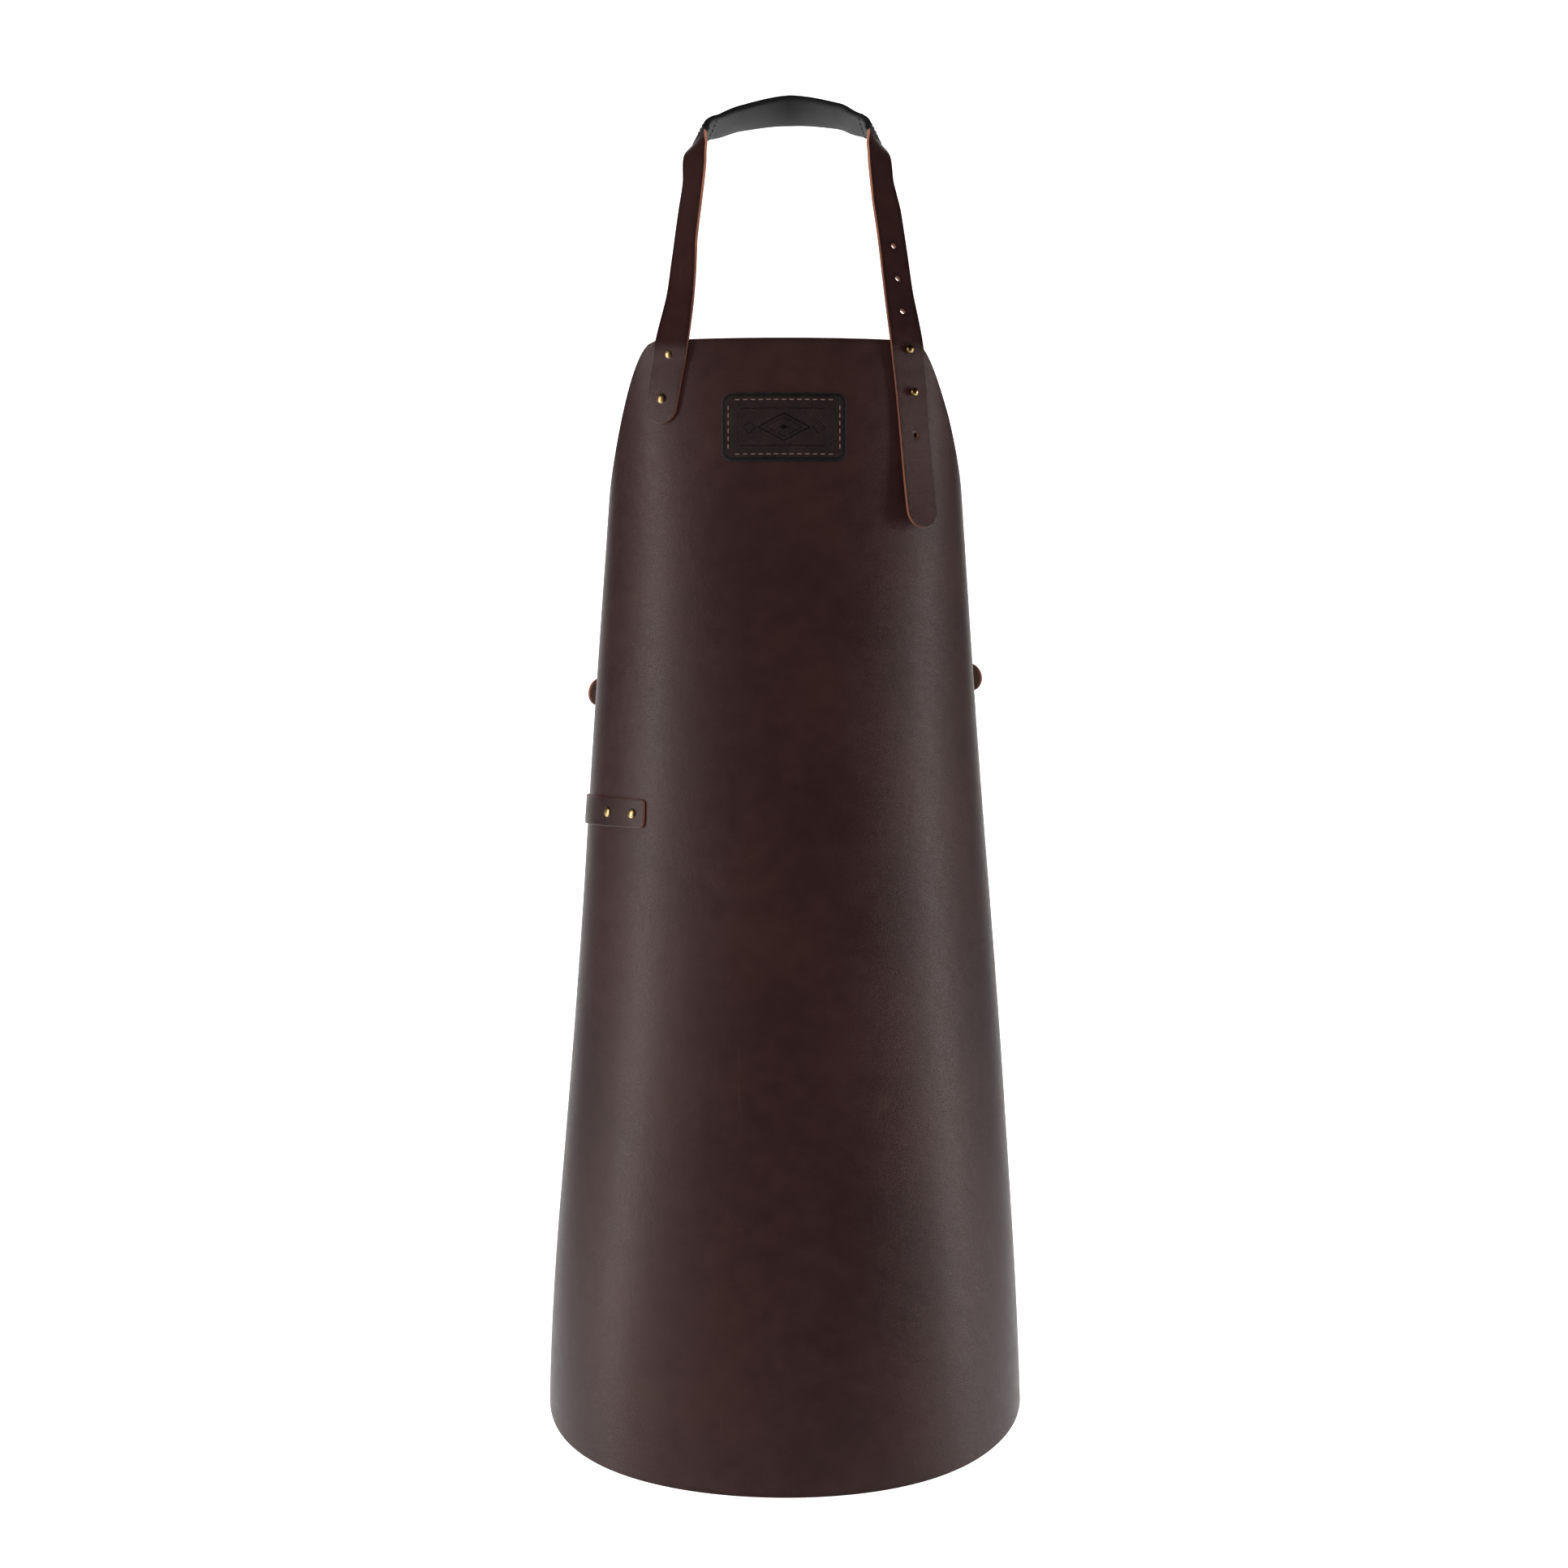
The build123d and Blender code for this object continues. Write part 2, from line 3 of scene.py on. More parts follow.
import bmesh
import bpy
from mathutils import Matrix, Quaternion, Vector
from mathutils.geometry import interpolate_bezier
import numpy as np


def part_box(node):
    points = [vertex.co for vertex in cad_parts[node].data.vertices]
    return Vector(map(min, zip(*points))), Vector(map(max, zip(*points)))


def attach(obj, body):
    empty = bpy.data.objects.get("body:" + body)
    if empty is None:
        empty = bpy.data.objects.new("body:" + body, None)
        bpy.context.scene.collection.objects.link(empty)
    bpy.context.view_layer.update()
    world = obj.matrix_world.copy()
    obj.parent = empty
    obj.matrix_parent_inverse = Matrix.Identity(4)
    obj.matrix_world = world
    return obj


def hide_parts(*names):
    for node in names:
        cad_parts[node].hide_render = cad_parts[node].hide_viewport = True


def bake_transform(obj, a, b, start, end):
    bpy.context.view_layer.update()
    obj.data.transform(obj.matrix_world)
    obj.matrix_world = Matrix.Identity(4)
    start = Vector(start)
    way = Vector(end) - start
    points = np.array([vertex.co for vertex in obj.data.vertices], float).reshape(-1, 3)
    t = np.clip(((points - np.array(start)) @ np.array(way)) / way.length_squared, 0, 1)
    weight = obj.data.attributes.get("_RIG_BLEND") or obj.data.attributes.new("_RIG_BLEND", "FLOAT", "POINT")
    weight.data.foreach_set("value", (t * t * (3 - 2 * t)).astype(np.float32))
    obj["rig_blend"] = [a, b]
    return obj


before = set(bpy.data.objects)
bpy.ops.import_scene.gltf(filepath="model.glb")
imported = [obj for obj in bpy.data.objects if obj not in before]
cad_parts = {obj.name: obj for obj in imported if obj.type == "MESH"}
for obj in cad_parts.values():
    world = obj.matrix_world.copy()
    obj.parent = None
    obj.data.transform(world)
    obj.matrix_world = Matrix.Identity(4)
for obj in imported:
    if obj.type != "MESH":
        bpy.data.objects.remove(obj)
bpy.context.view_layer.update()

# ---------------------------------------------------------------- the leather sheet
# One side of cowhide, 2 mm thick, cut with a bib, sloping shoulders and a curved hem. The grain
# side is dyed reddish brown and waxed; the flesh side and the cut edges keep the colour of the
# tan. It hangs wrapped round the wearer's front as part of an elliptical cone.

SHEET = 0.002
HEM_RISE = 0.076
SHOULDER_END = (0.082, 0.112)  # behind the front line, and below the bib's top
WAIST_CORNER, WAIST_CORNER_R, HEM_CORNER_R = 0.214, 0.020, 0.062
ROW = 0.004

sheet_low, sheet_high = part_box("apron_body")
FRONT, BIB_TOP = sheet_low.y, sheet_high.z
LENGTH, BACK = sheet_high.z - sheet_low.z, sheet_high.y - sheet_low.y


def half_width(drop):
    tuck = max(0.0, (drop - 0.62) / 0.18)
    return 0.116 + 0.0753 * drop - 0.006 * tuck**2


def half_depth(drop):
    return 0.135 - 0.080 * max(0.0, 1 - drop / LENGTH) ** 2.6


def cone(turn, drop):
    """A point of the sheet's face, at a turn from the front in radians and so far down."""
    back = half_depth(drop) * (1 - math.cos(turn))
    return Vector((half_width(drop) * math.sin(turn), FRONT + back, BIB_TOP - drop))


def outward(turn, drop):
    round_it = cone(turn + 0.01, drop) - cone(turn - 0.01, drop)
    down_it = cone(turn, drop + 0.001) - cone(turn, drop - 0.001)
    return down_it.cross(round_it).normalized()


def swell(turn, drop):
    """Hide never hangs quite even: soft waves grow down from the bib, and the right side is fuller."""
    turn = math.remainder(turn, 2 * math.pi)
    grown = min(1.0, max(0.0, (drop - 0.08) / 0.3))
    wave = math.sin(2.6 * turn + 5.5 * drop + 0.6) * math.cos(1.7 * turn - 7.0 * drop)
    right_side = math.exp(-(((turn - 1.4) / 0.35) ** 2)) * min(1.0, drop / 0.05)
    return 0.0016 * grown * wave + 0.0026 * right_side


def skin(turn, drop, lift=0.0):
    """A point at a height above the sheet's grain side."""
    return cone(turn, drop) + outward(turn, drop) * (lift + swell(turn, drop))


def rounded_corner(before, corner, after, radius, steps=8):
    """The arc that rounds a corner of an outline."""
    a, b = (before - corner).normalized(), (after - corner).normalized()
    half = a.angle(b) / 2
    centre = corner + (a + b).normalized() * (radius / math.sin(half))
    first = (corner + a * (radius / math.tan(half)) - centre).normalized()
    last = (corner + b * (radius / math.tan(half)) - centre).normalized()
    return [centre + first.slerp(last, i / steps) * radius for i in range(steps + 1)]


def hem_drop(back):
    share = back / BACK
    return LENGTH - HEM_RISE * share * (0.625 + 0.375 * share)


def even(points, step):
    """Points at even steps along a line of points."""
    reached = [0.0]
    for a, b in zip(points, points[1:]):
        reached.append(reached[-1] + (b - a).length)
    count = max(1, round(reached[-1] / step))
    found, k = [], 0
    for i in range(count + 1):
        at = reached[-1] * i / count
        while k < len(points) - 2 and reached[k + 1] < at:
            k += 1
        share = (at - reached[k]) / (reached[k + 1] - reached[k])
        found.append(points[k].lerp(points[k + 1], min(1.0, share)))
    return found


def sheet_edge():
    """The sheet's edge seen from the side, from the bib's top corner to the hem."""
    shoulder = Vector(SHOULDER_END)
    waist = Vector((BACK, WAIST_CORNER))
    heel = Vector((BACK, hem_drop(BACK)))
    hem = Vector((BACK * 0.7, hem_drop(BACK * 0.7)))
    handles = Vector((0.020, 0)), Vector((0.030, 0)), shoulder - Vector((0.033, 0.0375)), shoulder
    points = list(interpolate_bezier(*handles, 24))
    points += rounded_corner(shoulder, waist, heel, WAIST_CORNER_R)
    points += rounded_corner(waist, heel, hem, HEM_CORNER_R, 16)
    return even(points, ROW)


edge = sheet_edge()
COLUMNS = 120
mesh = bmesh.new()
uv = mesh.loops.layers.uv.new("flat")
rim = mesh.verts.layers.float.new("edge_mm")
bmesh.ops.create_grid(mesh, x_segments=COLUMNS, y_segments=len(edge) - 1, size=0.5)
flat = {}
for v in mesh.verts:
    across, row = 2 * v.co.x, round((0.5 - v.co.y) * (len(edge) - 1))
    back, drop = edge[row]
    share = drop / hem_drop(back)
    widest = math.acos(1 - back / half_depth(drop))
    turn, down = across * widest, share * LENGTH
    for _ in range(4):
        down = share * hem_drop(half_depth(down) * (1 - math.cos(turn)))
    radius = (half_width(down) + half_depth(down)) / 2
    flat[v] = (turn * radius, -down)
    to_side = (1 - abs(across)) * widest * radius
    to_end = min(down, hem_drop(half_depth(down) * (1 - math.cos(turn))) - down)
    v[rim] = 1000 * min(to_side, to_end)
    v.co = skin(turn, down)
for face in mesh.faces:
    face.smooth = True
    for loop in face.loops:
        loop[uv].uv = flat[loop.vert]
sheet = bpy.data.objects.new("leather_sheet", bpy.data.meshes.new("leather_sheet"))
mesh.to_mesh(sheet.data)
mesh.free()
bpy.context.scene.collection.objects.link(sheet)


def add_thickness(piece, thickness, offset=-1, round_over=0.00035):
    """Gives a sheet its thickness; the flesh side is material 1 and the cut edge material 2."""
    solid = piece.modifiers.new("thickness", "SOLIDIFY")
    solid.thickness = thickness
    solid.offset = offset
    solid.material_offset = 1
    solid.material_offset_rim = 2
    soft = piece.modifiers.new("softened edge", "BEVEL")
    soft.width = round_over
    soft.segments = 2
    soft.limit_method = "ANGLE"
    soft.angle_limit = math.radians(50)


add_thickness(sheet, SHEET)


class Shade:
    """The output of a shader node, which can be added, multiplied and mixed like a number."""

    def __init__(self, socket):
        self.socket = socket
        self.tree = socket.id_data

    def node(self, kind, inputs, output=0, **settings):
        """Any other node: its type, its inputs by name or number, and its settings."""
        made = self.tree.nodes.new(kind)
        for name, value in settings.items():
            setattr(made, name, value)
        for name, value in inputs.items():
            if isinstance(value, Shade):
                self.tree.links.new(value.socket, made.inputs[name])
            else:
                made.inputs[name].default_value = value
        return Shade(made.outputs[output])

    def maths(self, operation, a, b=0.0):
        if self.socket.type == "VECTOR":
            a, b = [x if isinstance(x, Shade) or hasattr(x, "__len__") else (x, x, x) for x in (a, b)]
            return self.node("ShaderNodeVectorMath", {0: a, 1: b}, operation=operation)
        return self.node("ShaderNodeMath", {0: a, 1: b}, operation=operation)

    def __add__(self, other):
        return self.maths("ADD", self, other)

    def __sub__(self, other):
        return self.maths("SUBTRACT", self, other)

    def __rsub__(self, other):
        return self.maths("SUBTRACT", other, self)

    def __mul__(self, other):
        return self.maths("MULTIPLY", self, other)

    def __abs__(self):
        return self.maths("ABSOLUTE", self)

    __radd__, __rmul__ = __add__, __mul__

    def larger(self, other):
        return self.maths("MAXIMUM", self, other)

    def rising(self, low, high):
        """0 below low and 1 above high, with a smooth slope between."""
        inputs = {"Value": self, "From Min": low, "From Max": high}
        return self.node("ShaderNodeMapRange", inputs, interpolation_type="SMOOTHSTEP")

    def mix(self, first, second):
        """From the first colour to the second, by this amount."""
        return self.node("ShaderNodeMix", {0: self, 6: first, 7: second}, output=2, data_type="RGBA")

    def noise(self, scale, detail=2.0, roughness=0.5):
        inputs = {"Vector": self, "Scale": scale, "Detail": detail, "Roughness": roughness}
        return self.node("ShaderNodeTexNoise", inputs)

    def cells(self, scale, feature="DISTANCE_TO_EDGE"):
        """Irregular cells: distance to their borders, or to their centres with F1."""
        return self.node("ShaderNodeTexVoronoi", {"Vector": self, "Scale": scale}, feature=feature)


class Finish:
    """A material in the making: its coordinates, its shader, and what is painted on it."""

    def __init__(self, name, **constants):
        self.material = bpy.data.materials.new(name)
        self.material.use_nodes = True
        self.tree = self.material.node_tree
        self.shader = self.tree.nodes["Principled BSDF"]
        where = self.tree.nodes.new("ShaderNodeTexCoord")
        self.place, self.flat = Shade(where.outputs["Object"]), Shade(where.outputs["UV"])
        for socket, value in constants.items():
            self.shader.inputs[socket.replace("_", " ")].default_value = value

    def attribute(self, name):
        made = self.tree.nodes.new("ShaderNodeAttribute")
        made.attribute_name = name
        return Shade(made.outputs["Fac"])

    def part(self, vector, axis):
        """One component of a vector, in metres."""
        return vector.node("ShaderNodeSeparateXYZ", {0: vector}, output=axis)

    def paint(self, colour, roughness, height, metallic=None):
        """Colour, roughness, and a relief in millimetres."""
        self.tree.links.new(colour.socket, self.shader.inputs["Base Color"])
        self.tree.links.new(roughness.socket, self.shader.inputs["Roughness"])
        if metallic:
            self.tree.links.new(metallic.socket, self.shader.inputs["Metallic"])
        relief = height.node("ShaderNodeBump", {"Height": height, "Distance": 0.001, "Strength": 1.0})
        self.tree.links.new(relief.socket, self.shader.inputs["Normal"])
        return self.material


def tone(r, g, b):
    return (r, g, b, 1.0)


def grain_side(name, deep, warm, worn, gloss=0.36, grain=0.05, cell=1150):
    """Waxed and dyed grain: cloudy dye, fine creases between pebbles with painted shade in them, pull-up
    marks, dark rims.
    """
    finish = Finish(name, Specular_IOR_Level=0.5, Coat_Weight=0.06, Coat_Roughness=0.3)
    flat = finish.flat
    clouds = flat.noise(8.0, 4.0, 0.6)
    mottle = flat.noise(75.0, 3.0, 0.55)
    dye = (clouds * 0.7 + mottle * 0.3).rising(0.36, 0.66)
    bent = flat + (flat.noise(60.0, 2.0) - 0.5) * 0.004
    scratch = (flat * (34.0, 3.2, 1.0) + (flat.noise(14.0, 3.0) - 0.5) * 0.8).noise(1.0, 2.0)
    line = 1 - abs(scratch - 0.5).rising(0.0, 0.006)
    marks = line * flat.noise(11.0, 2.0).rising(0.56, 0.72)
    to_edge = finish.attribute("edge_mm")
    rubbed = (1 - to_edge.rising(0.1, 1.1)) * flat.noise(160.0, 3.0).rising(0.35, 0.7)
    burnished = 1 - to_edge.rising(0.5, 5.0)
    pebbles = bent.cells(cell).rising(0.0, 0.22)
    pores = flat.cells(cell * 0.8, "F1").rising(0.0, 0.3)
    colour = dye.mix(tone(*deep), tone(*warm))
    colour = (marks * 0.22).mix(colour, tone(*worn))
    colour = (burnished * 0.45).mix(colour, tone(*[c * 0.45 for c in deep]))
    colour = (rubbed * 0.5).mix(colour, tone(*worn))
    # Darker in the creases between the pebbles: painted shade.
    colour = ((1 - pebbles) * 0.18).mix(colour, tone(*[c * 0.3 for c in deep]))
    rough = mottle * 0.14 + (1 - pebbles) * 0.10 + marks * 0.10 + burnished * -0.05 + (gloss - 0.07)
    relief = pebbles * grain + pores * grain * 0.35 + flat.noise(2400.0, 2.0) * grain * 0.4
    relief = relief + flat.noise(38.0, 2.0) * 0.22 - line * marks * 0.02
    return finish.paint(colour, rough, relief)


def flesh_side(name, pale, shade):
    """The back of the hide: buffed, matt and fibrous."""
    finish = Finish(name, Specular_IOR_Level=0.25, Sheen_Weight=0.25, Sheen_Roughness=0.6)
    flat = finish.flat
    swirl = flat + (flat.noise(24.0, 2.0) - 0.5) * 0.02
    fibres = (swirl * (900.0, 260.0, 1.0)).noise(1.0, 5.0, 0.7)
    patches = flat.noise(13.0, 4.0, 0.6)
    colour = (fibres * 0.6 + patches * 0.4).rising(0.34, 0.68).mix(tone(*shade), tone(*pale))
    rough = fibres * 0.1 + 0.85
    relief = fibres * 0.16 + flat.noise(320.0, 3.0) * 0.10
    return finish.paint(colour, rough, relief)


def cut_edge(name, pale, shade):
    """The cut through the hide: undyed fibre, dark where burnished, with painted light that makes it paler
    up by the neck.
    """
    finish = Finish(name, Specular_IOR_Level=0.35)
    fibres = (finish.place * (1.0, 1.0, 1.6)).noise(1500.0, 4.0, 0.7)
    stain = finish.place.noise(45.0, 3.0)
    # Paler towards the top: painted light falling from above.
    painted_top_light = finish.part(finish.place, 2).rising(-0.16, -0.01)
    paler = (fibres * 0.45 + stain * 0.35 + painted_top_light * 0.3).rising(0.38, 0.76)
    colour = paler.mix(tone(*shade), tone(*pale))
    return finish.paint(colour, fibres * 0.2 + 0.5, fibres * 0.08)


brown_grain = grain_side(
    "brown_grain", (0.030, 0.0105, 0.0108), (0.043, 0.0165, 0.0155), (0.12, 0.062, 0.045)
)
brown_flesh = flesh_side("brown_flesh", (0.20, 0.105, 0.070), (0.105, 0.050, 0.034))
sheet_cut = cut_edge("sheet_cut_edge", (0.17, 0.076, 0.050), (0.045, 0.019, 0.015))
strap_cut = cut_edge("strap_cut_edge", (0.46, 0.20, 0.12), (0.24, 0.095, 0.060))


def dress(piece, *materials):
    for material in materials:
        piece.data.materials.append(material)


dress(sheet, brown_grain, brown_flesh, sheet_cut)
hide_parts("apron_body")
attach(sheet, "apron")

# ---------------------------------------------------------------- the two neck straps
# Straps of 25 mm wide, 2.2 mm thick leather. The left one is riveted to the bib, the right one
# is buttoned over two studs and its punched tail hangs free. Each is one piece of leather that
# bends where it leaves the bib, and its far end is sewn into the neck pad.

STRAP_WIDTH, STRAP, CLEAR = 0.025, 0.0022, 0.0001
HOLE_R, HOLE_PITCH = 0.00225, 0.030
STUD_DROPS = (0.0063, 0.0356)
LEFT_LIFT = CLEAR + STRAP / 2
RIGHT_LIFT = 0.0008 + 2 * CLEAR + STRAP / 2
PITCH = 0.0025  # of the grid that a strap is cut from; a hole takes four of its squares
SEWN_IN = 0.008  # how far a strap runs on into the pad
NECK_BEND = 0.025  # the stretch over which a strap bends at the top of the bib

# The loop from the left of the bib over the neck to the right: millimetres right, back and up
# from the middle of the bib's top edge, and the direction across the strap to its outer edge.
NECK_LOOP = [
    ((-72.0, 39, 38), (-0.78, 0.52, -0.34)),
    ((-69.6, 59.5, 72), (-0.67, 0.64, -0.38)),
    ((-66.4, 78.5, 103.5), (-0.66, 0.64, -0.39)),
    ((-63.9, 92, 127), (-0.63, 0.66, -0.41)),
    ((-63.2, 102.5, 147), (-0.66, 0.64, -0.39)),
    ((-57.0, 110.5, 161), (-0.14, 0.92, -0.36)),
    ((-46, 117, 166.3), (0.0, 0.92, -0.39)),
    ((-31, 123.5, 172.6), (0.0, 0.87, -0.49)),
    ((4, 131.5, 179.4), (0.0, 0.71, -0.70)),
    ((39, 123.5, 174.2), (0.0, 0.87, -0.49)),
    ((50, 117, 168.5), (0.0, 0.92, -0.39)),
    ((61.5, 110.5, 162), (0.14, 0.92, -0.36)),
    ((67.4, 102.5, 147), (0.66, 0.64, -0.39)),
    ((69.2, 92, 127), (0.68, 0.62, -0.38)),
    ((72.6, 78, 103), (0.80, 0.50, -0.33)),
    ((76.5, 59, 70.5), (0.80, 0.51, -0.31)),
    ((79.6, 39, 39.5), (0.82, 0.49, -0.28)),
]
LEFT_CORNER, RIGHT_CORNER = 5, 11  # where the straps turn into the pad


def loop_place(k):
    (right, back, up), across = NECK_LOOP[k]
    return Vector((right / 1000, FRONT + back / 1000, BIB_TOP + up / 1000)), Vector(across)


def lying(degrees, drop, lift, heading):
    """A place of a strap on the sheet; heading is the direction that it runs in there."""
    turn = math.radians(degrees)
    return skin(turn, drop, lift), outward(turn, drop).cross(heading)


class Route:
    """The line that a strap is bent along, from its places: a point and the across direction."""

    def __init__(self, places):
        points = [p for p, _ in places]
        ends = [points[0] * 2 - points[1], *points, points[-1] * 2 - points[-2]]
        self.points, self.across = [], []
        for k in range(len(points) - 1):
            before, a, b, after = ends[k : k + 4]
            scale = (b - a).length
            out = (b - before).normalized() * scale / 3
            back = (after - a).normalized() * scale / 3
            curve = interpolate_bezier(a, a + out, b - back, b, 13)
            self.points += curve[:-1]
            self.across += [places[k][1].lerp(places[k + 1][1], i / 12) for i in range(12)]
        self.points.append(points[-1])
        self.across.append(places[-1][1])
        self.reached = [0.0]
        for a, b in zip(self.points, self.points[1:]):
            self.reached.append(self.reached[-1] + (b - a).length)
        self.length = self.reached[-1]

    def at(self, along, across=0.0, height=0.0):
        """The point that lies so far along the strap, so far across it and so high over its middle."""
        k = 0
        while k < len(self.reached) - 2 and self.reached[k + 1] < along:
            k += 1
        share = (along - self.reached[k]) / (self.reached[k + 1] - self.reached[k])
        heading = self.heading(k).lerp(self.heading(k + 1), max(0.0, min(1.0, share))).normalized()
        point = self.points[k] + (self.points[k + 1] - self.points[k]) * share
        normal = heading.cross(self.across[k].lerp(self.across[k + 1], share)).normalized()
        return point + normal.cross(heading) * across + normal * height

    def heading(self, k):
        a, b = max(0, k - 1), min(len(self.points) - 1, k + 1)
        return (self.points[b] - self.points[a]).normalized()

    def nearest(self, point):
        """How far along the strap a point is."""
        k = min(range(len(self.points)), key=lambda i: (self.points[i] - point).length)
        return self.reached[k]


def strap_blank(first, last, width, corner_r, holes=(), square_end=None):
    """A strap cut flat: x runs along it, y across it. Its corners are rounded and its holes punched."""
    blank = bmesh.new()
    blank.loops.layers.uv.new("flat")
    blank.verts.layers.float.new("edge_mm")
    length = last - first
    columns, rows = round(length / PITCH), 2 * round(width / PITCH / 2)
    bmesh.ops.create_grid(blank, x_segments=columns, y_segments=rows, size=0.5)
    bmesh.ops.scale(blank, vec=(length, width, 1), verts=blank.verts)
    for hole in holes:
        middle = hole - (first + last) / 2
        punched = min(blank.verts, key=lambda v: (v.co - Vector((middle, 0, 0))).length)
        square = {e.other_vert(punched) for e in punched.link_edges}
        square |= {v for f in punched.link_faces for v in f.verts}
        shift = middle - punched.co.x
        square.discard(punched)
        for v in square:
            away = v.co - punched.co
            v.co = punched.co + away.normalized() * HOLE_R + Vector((shift, 0, 0))
        bmesh.ops.delete(blank, geom=[punched], context="VERTS")
    for v in blank.verts:
        x, y = v.co.x, v.co.y
        p = (abs(x) - length / 2 + corner_r) / corner_r
        q = (abs(y) - width / 2 + corner_r) / corner_r
        if p > 0 and q > 0 and not (square_end and square_end * x > 0):
            v.co.x = math.copysign(length / 2 - corner_r + corner_r * p * math.sqrt(1 - q * q / 2), x)
            v.co.y = math.copysign(width / 2 - corner_r + corner_r * q * math.sqrt(1 - p * p / 2), y)
    bmesh.ops.translate(blank, vec=((first + last) / 2, 0, 0), verts=blank.verts)
    return blank


def bend(name, blank, place, shift=0.0):
    """Bends a flat blank: place gives a point for each (x, y). The shift moves the grain's pattern,
    so that no two pieces have the same patch of hide."""
    uv = blank.loops.layers.uv["flat"]
    rim = blank.verts.layers.float["edge_mm"]
    border = [v for v in blank.verts if v.is_boundary]
    for v in blank.verts:
        v[rim] = 1000 * min((v.co - b.co).length for b in border)
    for face in blank.faces:
        face.smooth = True
        for loop in face.loops:
            loop[uv].uv = (loop.vert.co.y + shift, loop.vert.co.x + shift)
    for v in blank.verts:
        v.co = place(v.co.x, v.co.y)
    piece = bpy.data.objects.new(name, bpy.data.meshes.new(name))
    blank.to_mesh(piece.data)
    blank.free()
    bpy.context.scene.collection.objects.link(piece)
    return piece


def finish_strap(piece, thickness):
    """Smooths the punched holes, then gives the strap its thickness and softened edges."""
    smooth = piece.modifiers.new("smooth outline", "SUBSURF")
    smooth.levels = smooth.render_levels = 1
    add_thickness(piece, thickness, offset=0, round_over=0.0003)


def left_turn(drop):
    """The strap leans outwards as it runs down the bib."""
    return -41.5 - 80 * drop


UP, DOWN = Vector((0, 0, 1)), Vector((0, 0, -1))
left_places = [lying(left_turn(d), d, LEFT_LIFT, UP) for d in (0.0575, 0.038, 0.019, 0.001)]
left_places += [loop_place(k) for k in range(LEFT_CORNER + 2)]
left_route = Route(left_places)
left_end = left_route.nearest(loop_place(LEFT_CORNER)[0]) + SEWN_IN
strap = strap_blank(0, left_end, STRAP_WIDTH, STRAP_WIDTH / 2, square_end=1)
neck_left = bend("neck_strap_left", strap, left_route.at, 0.4)
dress(neck_left, brown_grain, brown_flesh, strap_cut)
finish_strap(neck_left, STRAP)

right_places = [loop_place(k) for k in range(RIGHT_CORNER - 1, len(NECK_LOOP))]
right_lifts = [(46.3, 0.001, 0), (47.0, 0.02, 0), (47.6, 0.045, 0), (47.6, 0.075, 0.0012)]
right_lifts += [(47.0, 0.102, 0.0040), (46.2, 0.130, 0.0085)]
right_places += [lying(a, d, RIGHT_LIFT + rise, DOWN) for a, d, rise in right_lifts]
right_route = Route(right_places)
right_start = right_route.nearest(loop_place(RIGHT_CORNER)[0]) - SEWN_IN
bib_line = right_route.nearest(right_places[len(NECK_LOOP) - RIGHT_CORNER + 1][0]) - 0.001
punched = [bib_line + STUD_DROPS[0] + HOLE_PITCH * k for k in range(-3, 3)]
strap = strap_blank(
    right_start, right_route.length, STRAP_WIDTH, STRAP_WIDTH / 2, punched, square_end=-1
)
neck_right = bend("neck_strap_right", strap, right_route.at, 0.9)
dress(neck_right, brown_grain, brown_flesh, strap_cut)
finish_strap(neck_right, STRAP)

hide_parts("neck_strap_left_lower", "neck_strap_left_upper")
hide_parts("neck_strap_right_lower", "neck_strap_right_upper")
left_line = left_route.nearest(left_places[3][0])
left_ends = left_route.at(left_line), left_route.at(left_line + NECK_BEND)
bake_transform(neck_left, "apron", "neck_loop", *left_ends)
right_ends = right_route.at(bib_line), right_route.at(bib_line - NECK_BEND)
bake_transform(neck_right, "apron", "neck_loop", *right_ends)

# ---------------------------------------------------------------- the neck pad
# A soft sleeve of black leather round a strip of felt, with the two strap ends sewn in. It is
# filled fullest along its middle and thins towards its long edges.

PAD_WIDTH, PAD_THICK = 0.027, 0.0056
PAD_CREASE = 0.016  # from the pad's end to the inner row of stitches
PAD_CUTS, PAD_ROWS = 56, 11  # squares along the pad and across it

pad_route = Route([loop_place(k) for k in range(LEFT_CORNER - 1, RIGHT_CORNER + 2)])
pad_first = pad_route.nearest(loop_place(LEFT_CORNER)[0]) - SEWN_IN
pad_last = pad_route.nearest(loop_place(RIGHT_CORNER)[0]) + SEWN_IN
pad_length = pad_last - pad_first
blank = bmesh.new()
bmesh.ops.create_cube(blank, size=1)
bmesh.ops.scale(blank, vec=(pad_length, PAD_WIDTH, PAD_THICK), verts=blank.verts)
long_edges = [e for e in blank.edges if abs(e.verts[0].co.x - e.verts[1].co.x) > 0.01]
bmesh.ops.bevel(
    blank, geom=long_edges, offset=0.0022, segments=4, profile=0.5, affect="EDGES", material=-1
)
for k in range(1, PAD_CUTS):
    cut = Vector((pad_length * (k / PAD_CUTS - 0.5), 0, 0))
    geom = [*blank.verts, *blank.edges, *blank.faces]
    bmesh.ops.bisect_plane(blank, geom=geom, plane_co=cut, plane_no=(1, 0, 0))
for k in range(-4, 5):
    cut = Vector((0, PAD_WIDTH * k / PAD_ROWS, 0))
    geom = [*blank.verts, *blank.edges, *blank.faces]
    bmesh.ops.bisect_plane(blank, geom=geom, plane_co=cut, plane_no=(0, 1, 0))
uv = blank.loops.layers.uv.new("flat")
rim = blank.verts.layers.float.new("edge_mm")
shape = {}
